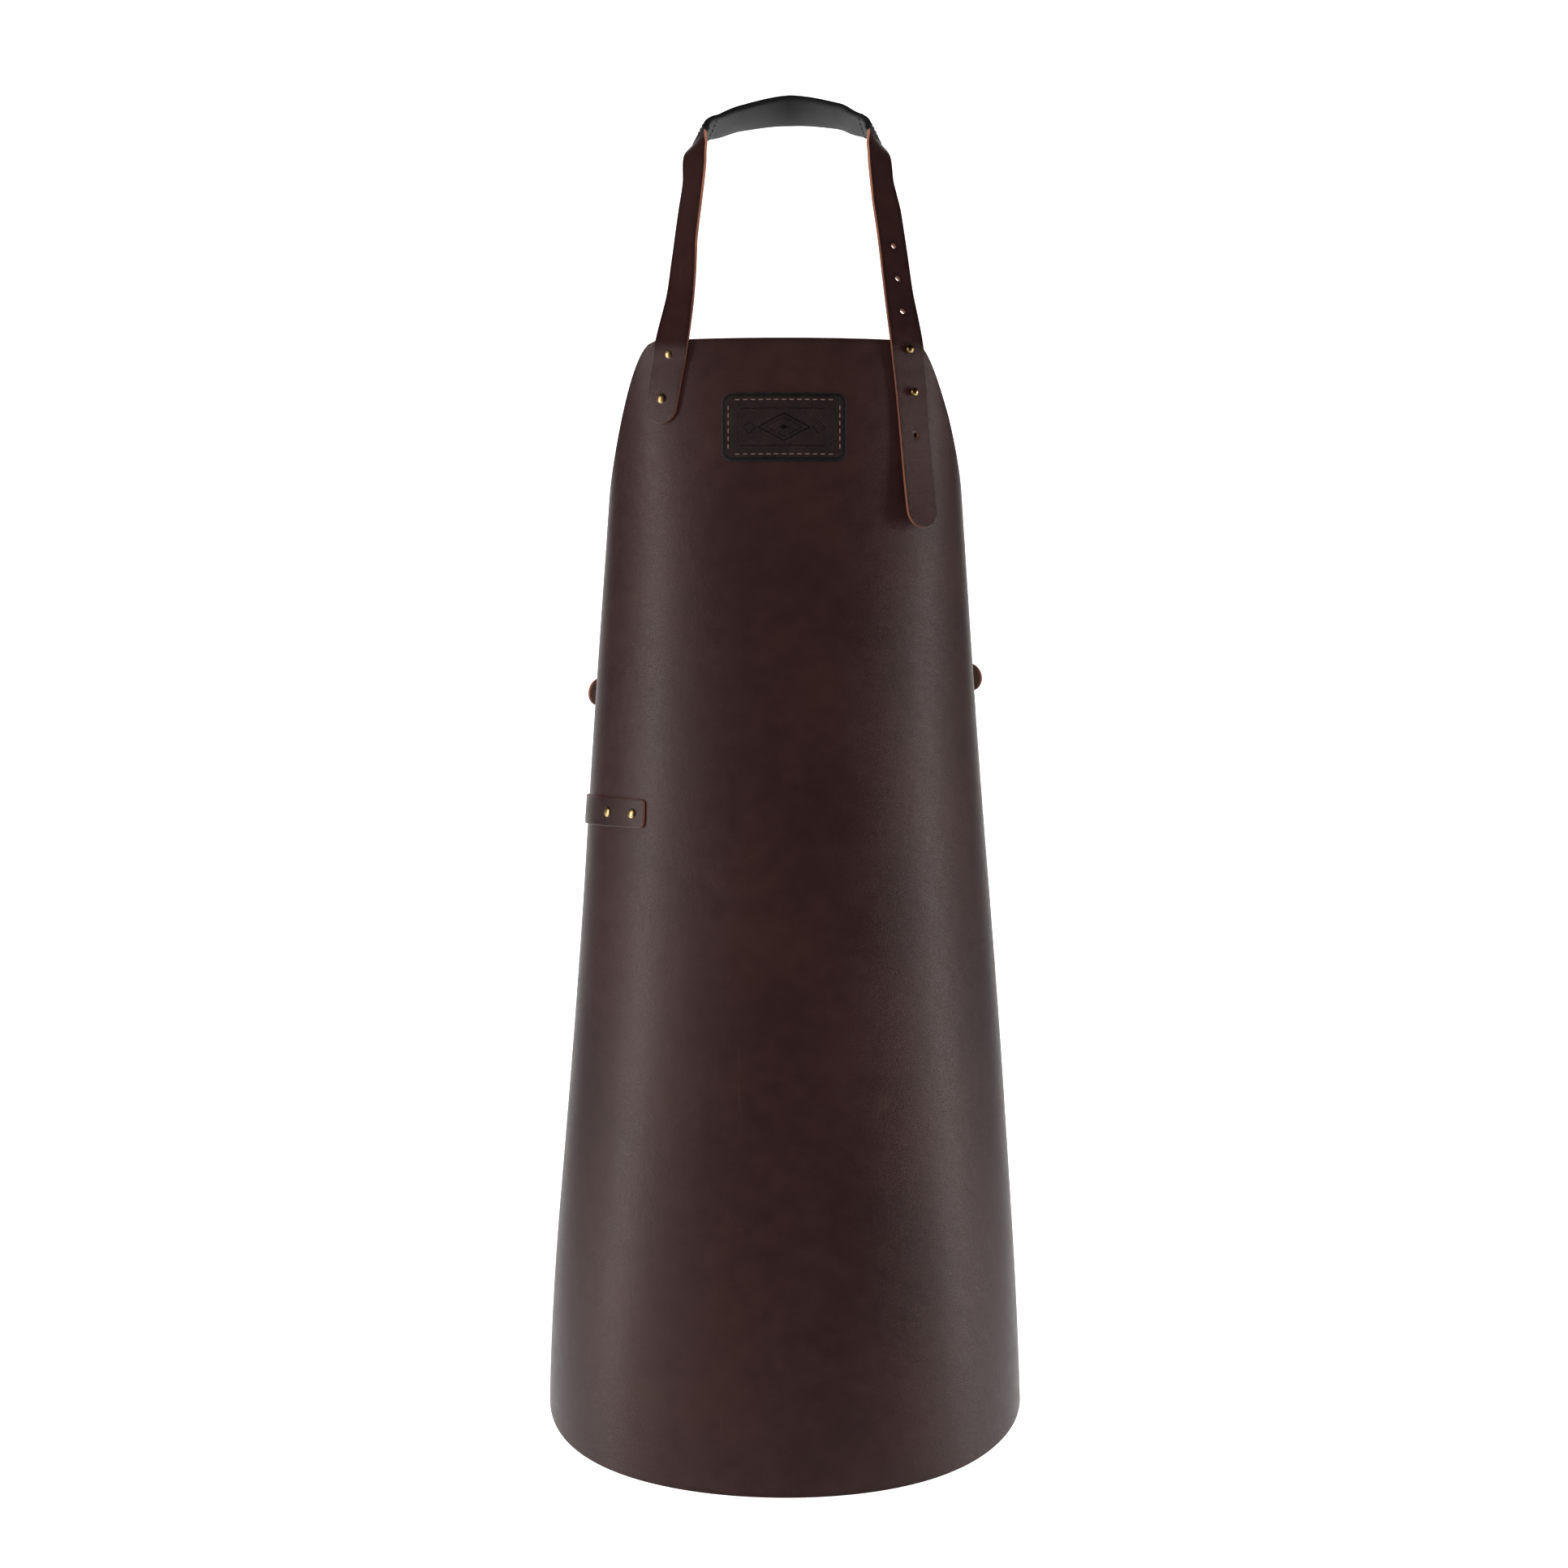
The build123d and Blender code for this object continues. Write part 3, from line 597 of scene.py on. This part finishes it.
for v in blank.verts:
    along, across, height = v.co
    from_end = pad_length / 2 - abs(along)
    crown = 1 - (2 * across / PAD_WIDTH) ** 2
    full = min(1.0, max(0.0, (from_end - PAD_CREASE) / 0.02))
    pinch = 1 - 0.10 * math.exp(-(((from_end - PAD_CREASE) / 0.0025) ** 2))
    thick = (0.80 + 0.20 * crown + 0.34 * full * crown) * pinch
    narrow = 1 - 0.03 * full * math.sin(math.pi * min(1.0, from_end / 0.05) / 2)
    shape[v] = (pad_first + pad_length / 2 + along, across * narrow, height * thick)
    v[rim] = 1000 * min(from_end, PAD_WIDTH / 2 - abs(across)) + 1.2
for face in blank.faces:
    face.smooth = abs(face.normal.x) < 0.5
    for loop in face.loops:
        along, across, height = shape[loop.vert]
        loop[uv].uv = (across + (height > 0) * 0.05, along)
for v in blank.verts:
    v.co = pad_route.at(*shape[v])
bmesh.ops.recalc_face_normals(blank, faces=blank.faces)
pad = bpy.data.objects.new("neck_pad", bpy.data.meshes.new("neck_pad"))
blank.to_mesh(pad.data)
blank.free()
bpy.context.scene.collection.objects.link(pad)
smooth = pad.modifiers.new("soft", "SUBSURF")
smooth.levels = smooth.render_levels = 1
black_grain = grain_side(
    "black_grain",
    (0.0125, 0.0135, 0.0165),
    (0.019, 0.0205, 0.0255),
    (0.05, 0.05, 0.055),
    gloss=0.46,
    grain=0.04,
    cell=1500,
)
dress(pad, black_grain)
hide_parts("neck_pad_cover", "neck_pad_lining", "neck_pad_filler")
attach(pad, "neck_loop")

# ---------------------------------------------------------------- stitches
# Waxed thread, sewn by hand: short round stitches that dip into the leather at both ends. Black
# thread closes the pad over the strap ends, tan thread runs round the label.

STITCH_LENGTH, STITCH_PITCH, THREAD_R = 0.0038, 0.0053, 0.00038


def stitch(seam, place, along, across, middle, turned):
    """Adds one stitch to a seam; place bends (x, y, height), turned runs it along y."""
    found = bmesh.ops.create_uvsphere(seam, u_segments=8, v_segments=7, radius=1)["verts"]
    for v in found:
        run, side, up = v.co.z * STITCH_LENGTH / 2, v.co.x * THREAD_R, v.co.y * THREAD_R
        lift = middle - 0.0004 * v.co.z**4
        x, y = (side, run) if turned else (run, side)
        v.co = place(along + x, across + y, lift + up)


def thread(name, pale, shade):
    """Two-ply waxed thread: a slanting twist whose hollows are darkened with painted shade, and fuzz."""
    finish = Finish(name, Specular_IOR_Level=0.4)
    lean = finish.part(finish.place, 0) + finish.part(finish.place, 2) * 0.9 + finish.part(finish.place, 1)
    twist = lean.maths("SINE", lean * 5200.0) * 0.5 + 0.5
    fuzz = finish.place.noise(2600.0, 3.0)
    # The twist's hollows are darker: painted shade.
    colour = (twist * 0.6 + fuzz * 0.4).mix(tone(*shade), tone(*pale))
    return finish.paint(colour, fuzz * 0.2 + 0.5, twist * 0.12 + fuzz * 0.05)


def sewn(name, seam):
    for face in seam.faces:
        face.smooth = True
    bmesh.ops.recalc_face_normals(seam, faces=seam.faces)
    piece = bpy.data.objects.new(name, bpy.data.meshes.new(name))
    seam.to_mesh(piece.data)
    seam.free()
    bpy.context.scene.collection.objects.link(piece)
    return piece


seam = bmesh.new()
for from_end in (0.004, PAD_CREASE - 0.002):
    for row in (pad_first + from_end, pad_last - from_end):
        for k in range(-2, 3):
            for side in (-1, 1):
                across = k * STITCH_PITCH
                crown = 1 - (2 * across / PAD_WIDTH) ** 2
                high = side * PAD_THICK / 2 * (0.82 + 0.2 * crown)
                stitch(seam, pad_route.at, row, across, high, True)
pad_stitching = sewn("pad_stitching", seam)
black_thread = thread("black_thread", (0.035, 0.036, 0.042), (0.010, 0.010, 0.013))
dress(pad_stitching, black_thread)
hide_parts("neck_pad_stitching")
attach(pad_stitching, "neck_loop")

# ---------------------------------------------------------------- the label
# A patch of fine pebbled leather on a black backing, sewn round with tan thread and glued to the
# bib. It is embossed with a plain frame and a chain of diamonds.

LABEL_WIDTH, LABEL_HEIGHT, LABEL_R, LABEL_DROP = 0.086, 0.0475, 0.007, 0.0616
BACKING, LABEL, SEAM_INSET = 0.0008, 0.0014, 0.005


def on_bib(x, y, height):
    """A place over the bib, so far right of its middle and so far above the label's middle."""
    drop = LABEL_DROP - y
    return skin(math.asin(x / half_width(drop)), drop, height)


def label_piece(name, width, height, corner_r, under, thick, round_over, *materials):
    blank = strap_blank(-width / 2, width / 2, height, corner_r)
    piece = bend(name, blank, lambda x, y: on_bib(x, y, under + thick), 0.0)
    smooth = piece.modifiers.new("smooth outline", "SUBSURF")
    smooth.levels = smooth.render_levels = 1
    dress(piece, *materials)
    add_thickness(piece, thick, round_over=round_over)
    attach(piece, "apron")
    return piece


def embossed(name, deep, warm):
    """Pebbled leather pressed with a frame line and three diamonds, darker where pressed; its darker rim is
    partly a burnished edge and partly painted shade.
    """
    finish = Finish(name, Specular_IOR_Level=0.5)
    flat = finish.flat
    x, y = abs(finish.part(flat, 1)), abs(finish.part(flat, 0))
    pebbles = (flat + (flat.noise(160.0, 2.0) - 0.5) * 0.002).cells(950.0).rising(0.02, 0.3)
    wear = flat.noise(55.0, 4.0, 0.6)

    def line(distance, half):
        return 1 - abs(distance).rising(half * 0.5, half)

    big = x * 0.55 + y - 0.0095
    small = x * 0.55 + y - 0.0068
    side = abs(x - 0.0235) + y - 0.0042
    rule = line(y - 0.0128, 0.00035) * (1 - x.rising(0.0290, 0.0296))
    post = line(x - 0.0313, 0.00035) * (1 - y.rising(0.0105, 0.0111))
    bud = 1 - (x * 0.55 + y).rising(0.0016, 0.0022)
    pressed = line(big, 0.0006)
    for mark in (line(small, 0.00035), line(side, 0.0005), rule, post, bud):
        pressed = pressed.larger(mark)
    colour = (wear * 0.7 + pebbles * 0.3).rising(0.3, 0.75).mix(tone(*deep), tone(*warm))
    # Darker towards the label's edge: partly a burnished edge, partly painted shade of its rounded border.
    rim = 1 - finish.attribute("edge_mm").rising(1.2, 3.2)
    colour = (rim * 0.75).mix(colour, tone(*[c * 0.3 for c in deep]))
    colour = (pressed * 0.85).mix(colour, tone(*[c * 0.25 for c in deep]))
    rough = wear * 0.15 + (1 - pebbles) * 0.12 + 0.42 - pressed * 0.1
    relief = pebbles * 0.11 * (1 - pressed * 0.7) - pressed * 0.75 + flat.noise(2100.0, 2.0) * 0.03
    return finish.paint(colour, rough, relief)


label_face = embossed("label_face", (0.012, 0.0072, 0.0070), (0.030, 0.0180, 0.0165))
backing = label_piece(
    "label_backing_piece", LABEL_WIDTH, LABEL_HEIGHT, LABEL_R, CLEAR, BACKING, 0.0003, *[black_grain] * 3
)
patch = label_piece(
    "label_patch_piece",
    LABEL_WIDTH - 0.0016,
    LABEL_HEIGHT - 0.0016,
    LABEL_R - 0.0008,
    CLEAR + BACKING,
    LABEL,
    0.0006,
    label_face,
    black_grain,
    black_grain,
)
seam = bmesh.new()
label_top = CLEAR + BACKING + LABEL
for length, offset, upright in (
    (LABEL_WIDTH - 2 * SEAM_INSET, LABEL_HEIGHT / 2 - SEAM_INSET, False),
    (LABEL_HEIGHT - 2 * SEAM_INSET, LABEL_WIDTH / 2 - SEAM_INSET, True),
):
    count = int((length - 0.002) / STITCH_PITCH)
    for k in range(count):
        for side in (-1, 1):
            run = (k - (count - 1) / 2) * STITCH_PITCH
            x, y = (side * offset, run) if upright else (run, side * offset)
            stitch(seam, on_bib, x, y, label_top + 0.0001, upright)
label_seam = sewn("label_seam", seam)
tan_thread = thread("tan_thread", (0.34, 0.22, 0.19), (0.14, 0.080, 0.068))
dress(label_seam, tan_thread)
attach(label_seam, "apron")
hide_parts("label_backing")
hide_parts("label_patch")
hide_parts("label_stitching")

# ---------------------------------------------------------------- the towel strap
# A 20 mm strap of the same leather that lies round the left hip, riveted twice at each end, with
# room behind its middle for a towel or gloves.

NARROW_WIDTH, NARROW = 0.020, 0.0020
ON_SHEET = CLEAR + NARROW / 2
TOWEL_FRONT, TOWEL_SPAN = 43.6, 74.9
TOWEL_RIVETS = (48.3, 60.3, 103.0, 114.0)


def towel_turn(angle):
    return -angle, 0.3285 - 0.00008 * (angle - TOWEL_FRONT)


towel_places = []
for k in range(13):
    turn, drop = towel_turn(TOWEL_FRONT + TOWEL_SPAN * k / 12)
    towel_places.append(lying(turn, drop, ON_SHEET, Vector((-1, 0.3 + k * 0.3, 0))))
towel_route = Route(towel_places)
strap = strap_blank(0, towel_route.length, NARROW_WIDTH, 0.003)
towel_strap = bend("towel_strap_piece", strap, towel_route.at, 1.7)
dress(towel_strap, brown_grain, brown_flesh, strap_cut)
finish_strap(towel_strap, NARROW)
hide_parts("towel_strap")
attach(towel_strap, "apron")

# ---------------------------------------------------------------- the waist strap
# Two halves of 20 mm strap. Each is riveted twice to the back edge of the sheet and its rounded
# tip stands off a little in front of the rivets. Behind the back the right half buttons over a
# stud of the left half, by one of its four holes.

WAIST_RIVETS = (128.5, 120.5)
WAIST_TIP_START = 118.5
RIGHT_TIP, RIGHT_FLARE = 0.033, 12.0  # how long a tip is, and how far it stands off in degrees
LEFT_TIP, LEFT_FLARE = 0.033, 6.0
WAIST_BEND, BEND_END = 140.5, 150.0  # where the held end bends away, and where the free part starts
RIGHT_HALF_END, LEFT_HALF_END = 199.0, 176.0
WAIST_STUD, WAIST_STEP = 190.0, 11.0


def waist_drop(angle):
    return 0.236 + 0.00007 * (angle - 180)


def waist_place(angle, lift=ON_SHEET):
    """A place of the waist strap; the angle runs from the right side round the back to the left."""
    turn = math.radians(angle)
    round_it = cone(turn + 0.01, waist_drop(angle)) - cone(turn - 0.01, waist_drop(angle))
    away = outward(turn, waist_drop(angle))
    held = min(1.0, max(0.0, (abs(180 - angle) - 38) / 10))
    lift += held * swell(turn, waist_drop(angle))
    return cone(turn, waist_drop(angle)) + away * lift, away.cross(round_it)


def waist_half(side, far, tip_length, flare_degrees, lift):
    """The places of one half, from its tip by the rivets to its end behind the back."""
    places = []
    for k in range(7):
        angle = WAIST_TIP_START + (WAIST_BEND - WAIST_TIP_START) * k / 6
        places.append(waist_place(180 - side * (180 - angle), lift(angle)))
    first, across = places[0]
    run = (first - places[1][0]).normalized()
    tip_angle = 180 - side * (180 - WAIST_TIP_START)
    away = outward(math.radians(tip_angle), waist_drop(tip_angle))
    tip = []
    for k in range(1, 7):
        flare = math.radians(flare_degrees * min(1, k / 3))
        first = first + (run * math.cos(flare) + away * math.sin(flare)) * (tip_length / 6)
        tip.append((first, across))
    rest = []
    for k in range(1, 15):
        angle = WAIST_BEND + (far - WAIST_BEND) * k / 14
        rest.append(waist_place(180 - side * (180 - angle), lift(angle)))
    return tip[::-1] + places + rest


def flat_lift(angle):
    return ON_SHEET


def over_the_stud(angle):
    share = min(1.0, max(0.0, (angle - BEND_END) / 20))
    return ON_SHEET + (NARROW + 0.0008 + 3 * CLEAR) * share * share * (3 - 2 * share)


right_half = Route(waist_half(1, RIGHT_HALF_END, RIGHT_TIP, RIGHT_FLARE, over_the_stud))
left_places = waist_half(-1, LEFT_HALF_END, LEFT_TIP, LEFT_FLARE, flat_lift)
left_half = Route([(p, -a) for p, a in left_places])
holes = [right_half.nearest(waist_place(WAIST_STUD - k * WAIST_STEP, 0.004)[0]) for k in range(4)]
strap = strap_blank(0, right_half.length, NARROW_WIDTH, NARROW_WIDTH / 2, holes)
waist_right = bend("waist_strap_right_piece", strap, right_half.at, 2.3)
strap = strap_blank(0, left_half.length, NARROW_WIDTH, NARROW_WIDTH / 2)
waist_left = bend("waist_strap_left_piece", strap, left_half.at, 2.9)
for piece, side, name in ((waist_right, 1, "right"), (waist_left, -1, "left")):
    dress(piece, brown_grain, brown_flesh, strap_cut)
    finish_strap(piece, NARROW)
    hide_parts(f"waist_strap_{name}_end", f"waist_strap_{name}")
    bend_at = waist_place(180 - side * (180 - WAIST_BEND))[0]
    after = waist_place(180 - side * (180 - BEND_END))[0]
    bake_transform(piece, "apron", f"waist_{name}", bend_at, after)

# ---------------------------------------------------------------- rivets and button studs
# Solid brass. A rivet is a domed cap pressed on a post with a flat foot; a button stud is a ball
# on a neck over a flange, held by a slotted screw from behind.


def brass(name):
    """Turned and tumbled brass, darker and duller in random patches of tarnish."""
    finish = Finish(name, Specular_IOR_Level=0.5)
    tarnish = finish.place.noise(420.0, 4.0, 0.6)
    turning = finish.place.noise(3000.0, 2.0)
    scuffs = (finish.place * (1.0, 1.0, 7.0)).noise(900.0, 3.0)
    colour = tarnish.rising(0.46, 0.70).mix(tone(0.86, 0.64, 0.30), tone(0.38, 0.24, 0.095))
    rough = tarnish * 0.22 + scuffs * 0.12 + 0.20
    metal = 1 - tarnish.rising(0.66, 0.8) * 0.15
    return finish.paint(colour, rough, turning * 0.012 + scuffs * 0.02, metal)


brass_finish = brass("brass_finish")


def turned_piece(name, node, profile, foot, away, body, slotted=False):
    """A piece turned from its (radius, height) outline, standing on a foot along away."""
    made = bmesh.new()
    outline = [made.verts.new((r, 0, h)) for r, h in profile]
    edges = [made.edges.new(pair) for pair in zip(outline, outline[1:])]
    bmesh.ops.spin(
        made,
        geom=[*outline, *edges],
        axis=(0, 0, 1),
        cent=(0, 0, 0),
        steps=32,
        angle=2 * math.pi,
        use_merge=True,
    )
    bmesh.ops.remove_doubles(made, verts=made.verts, dist=1e-6)
    if slotted:
        cut_slot(made)
    bmesh.ops.recalc_face_normals(made, faces=made.faces)
    turn = Vector((0, 0, 1)).rotation_difference(away).to_matrix()
    for v in made.verts:
        v.co = foot + turn @ v.co
    for face in made.faces:
        face.smooth = True
    piece = bpy.data.objects.new(name, bpy.data.meshes.new(name))
    made.to_mesh(piece.data)
    made.free()
    bpy.context.scene.collection.objects.link(piece)
    soft = piece.modifiers.new("softened edge", "BEVEL")
    soft.width = 0.00012
    soft.segments = 2
    soft.limit_method = "ANGLE"
    soft.angle_limit = math.radians(40)
    dress(piece, brass_finish)
    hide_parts(node)
    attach(piece, body)
    return piece


def cut_slot(screw):
    """Presses a screwdriver slot into the screw's head, which is its lowest face."""
    low = min(v.co.z for v in screw.verts)
    for side in (-1, 1):
        geom = [*screw.verts, *screw.edges, *screw.faces]
        bmesh.ops.bisect_plane(screw, geom=geom, plane_co=(0, side * 0.00045, 0), plane_no=(0, 1, 0))
    for v in screw.verts:
        if v.co.z < low + 1e-6 and abs(v.co.y) < 0.0003:
            v.co.z += 0.0005


def dome(radius, rise, height, steps=6):
    """The outline of a domed top, from its middle to its rim."""
    ball = (radius**2 + rise**2) / (2 * rise)
    widest = math.asin(radius / ball)
    turns = [widest * k / steps for k in range(steps + 1)]
    return [(ball * math.sin(t), height - ball * (1 - math.cos(t))) for t in turns]


def rivet(name, turn, drop, leather, side_lift):
    """The cap and the post of one rivet through a strap and the sheet."""
    away = outward(turn, drop)
    face = skin(turn, drop, side_lift)
    cap = [*dome(0.0034, 0.0010, 0.0016), (0.0034, 0.00025), (0.0031, 0), (0, 0)]
    turned_piece(f"{name}_dome", f"{name}_cap", cap, face, away, "apron")
    depth = leather + SHEET + 3 * CLEAR
    post = [(0, 0), (0.0015, 0), (0.0015, -depth), (0.0031, -depth), (0.0034, -depth - 0.0002)]
    post += [(0.0033, -depth - 0.0006), (0.0029, -depth - 0.0007), (0, -depth - 0.0007)]
    turned_piece(f"{name}_shank", f"{name}_post", post, face, away, "apron")


for name, drop in (("lower", 0.0402), ("upper", 0.0096)):
    rivet(f"neck_rivet_{name}", math.radians(left_turn(drop)), drop, STRAP, CLEAR + STRAP)
for k, angle in enumerate(TOWEL_RIVETS, 1):
    turn, drop = towel_turn(angle)
    rivet(f"towel_rivet_{k}", math.radians(turn), drop, NARROW, CLEAR + NARROW)
for name, side in (("right", 1), ("left", -1)):
    for k, angle in enumerate(WAIST_RIVETS, 1):
        round_it = 180 - side * (180 - angle)
        turn, drop = math.radians(round_it), waist_drop(round_it)
        rivet(f"waist_rivet_{name}_{k}", turn, drop, NARROW, CLEAR + NARROW)


def button_stud(name, seat, away, leather, behind, body):
    """Flange, neck and ball on the seat, and the screw that comes from behind it."""
    shoulder = 0.0008
    neck_top = shoulder + leather + CLEAR + 0.00035
    ball_r, neck_r = 0.0029, 0.0019
    centre = neck_top + math.sqrt(ball_r**2 - neck_r**2)
    start = math.asin(neck_r / ball_r)
    ball = [
        (ball_r * math.sin(t), centre + ball_r * math.cos(t))
        for t in [(math.pi - start) * k / 14 for k in range(15)]
    ]
    profile = [*ball, (neck_r, neck_top), (neck_r, shoulder)]
    profile += [(0.0043, shoulder), (0.0045, shoulder / 2), (0.0045, 0), (0, 0)]
    turned_piece(f"{name}_button", name, profile, seat, away, body)
    screw = [(0, 0), (0.00125, 0), (0.00125, -behind), (0.0038, -behind), (0.0038, -behind - 0.0006)]
    screw += [(0.0034, -behind - 0.0010), (0, -behind - 0.0010)]
    turned_piece(f"{name}_slotted_screw", f"{name}_screw", screw, seat, away, body, slotted=True)


for name, angle, drop in zip(("neck_stud_upper", "neck_stud_lower"), (46.5, 47.4), STUD_DROPS):
    turn = math.radians(angle)
    seat, away = skin(turn, drop, CLEAR), outward(turn, drop)
    button_stud(name, seat, away, STRAP + CLEAR, SHEET + 2 * CLEAR, "apron")
turn, drop = math.radians(WAIST_STUD), waist_drop(WAIST_STUD)
away = outward(turn, drop)
seat = cone(turn, drop) + away * (2 * CLEAR + NARROW)
button_stud("waist_stud", seat, away, NARROW + CLEAR, NARROW + CLEAR, "waist_left")

# ---------------------------------------------------------------- floor, light and camera
# A white studio: the apron hangs over a pale floor that curves up into a lit wall, between two
# tall soft lights that draw a band of light down each side of it. The fill and the room's light
# are bounced, so they aren't seen in the leather's shine.

FLOOR_GAP, FLOOR_HALF, WALL_HEIGHT = 0.12, 3.0, 3.2

sweep = bmesh.new()
floor_z = sheet_low.z - FLOOR_GAP
profile = [(-0.6, 0), (2.8, 0), (3.2, 0.06), (3.5, 0.25), (3.6, 0.55), (3.6, WALL_HEIGHT)]
line = [sweep.verts.new((-FLOOR_HALF, y, floor_z + z)) for y, z in profile]
edges = [sweep.edges.new(pair) for pair in zip(line, line[1:])]
drawn = bmesh.ops.extrude_edge_only(sweep, edges=edges)["geom"]
moved = [g for g in drawn if isinstance(g, bmesh.types.BMVert)]
bmesh.ops.translate(sweep, vec=(2 * FLOOR_HALF, 0, 0), verts=moved)
backdrop = bpy.data.objects.new("studio_sweep", bpy.data.meshes.new("studio_sweep"))
sweep.to_mesh(backdrop.data)
sweep.free()
bpy.context.scene.collection.objects.link(backdrop)
soft = backdrop.modifiers.new("smooth", "SUBSURF")
soft.levels = soft.render_levels = 3
paper = Finish("pale_paper", Specular_IOR_Level=0.1, Emission_Strength=0.8)
fibre = paper.place.noise(30.0, 3.0)
paper.paint(fibre.mix(tone(0.90, 0.90, 0.90), tone(0.94, 0.94, 0.94)), fibre * 0.1 + 0.85, fibre * 0.05)
aside, behind = abs(paper.part(paper.place, 0)), paper.part(paper.place, 1)
glow = (1 - aside.rising(1.4, 2.2)) * behind.rising(-0.1, 0.25)
glow = glow.mix(tone(0, 0, 0), tone(1, 1, 1))
paper.tree.links.new(glow.socket, paper.shader.inputs["Emission Color"])
dress(backdrop, paper.material)


def softbox(name, azimuth, distance, height, width, tall, power, lean=0):
    """An area light that faces the apron; azimuth is from the front, to the right."""
    lamp = bpy.data.lights.new(name, "AREA")
    lamp.shape = "RECTANGLE"
    lamp.size, lamp.size_y = width, tall
    lamp.energy = power
    lamp.color = (1.0, 0.88, 0.84)
    holder = bpy.data.objects.new(name, lamp)
    turn = math.radians(azimuth)
    middle = Vector((0, FRONT + 0.09, (sheet_low.z + BIB_TOP) / 2))
    holder.location = middle + Vector((distance * math.sin(turn), -distance * math.cos(turn), height))
    facing = (middle - holder.location).to_track_quat("-Z", "Y")
    leaning = Quaternion((0, 0, 1), math.radians(lean))
    holder.rotation_euler = (facing @ leaning).to_euler()
    bpy.context.scene.collection.objects.link(holder)
    return holder


softbox("left_softbox", -72, 1.7, 0.0, 0.42, 1.25, 11, -20)
softbox("right_softbox", 83, 1.7, 0.0, 0.38, 1.25, 9, 14)
bounced = softbox("front_fill", -10, 3.2, 1.6, 1.8, 1.8, 56)
bounced.visible_glossy = False
world = bpy.data.worlds.new("studio")
bpy.context.scene.world = world
world.use_nodes = True
world.cycles_visibility.glossy = False
world.node_tree.nodes["Background"].inputs["Color"].default_value = (1, 1, 1, 1)
world.node_tree.nodes["Background"].inputs["Strength"].default_value = 0.42
bpy.context.scene.view_settings.view_transform = "Standard"

camera = bpy.data.cameras.new("camera")
camera.sensor_fit = "HORIZONTAL"
camera.sensor_width = 36.0
camera.lens = 86.7
holder = bpy.data.objects.new("camera", camera)
holder.location = (0.0, FRONT - 2.6, BIB_TOP - 0.3075)
holder.rotation_euler = (math.radians(90), 0, 0)
bpy.context.scene.collection.objects.link(holder)
bpy.context.scene.camera = holder
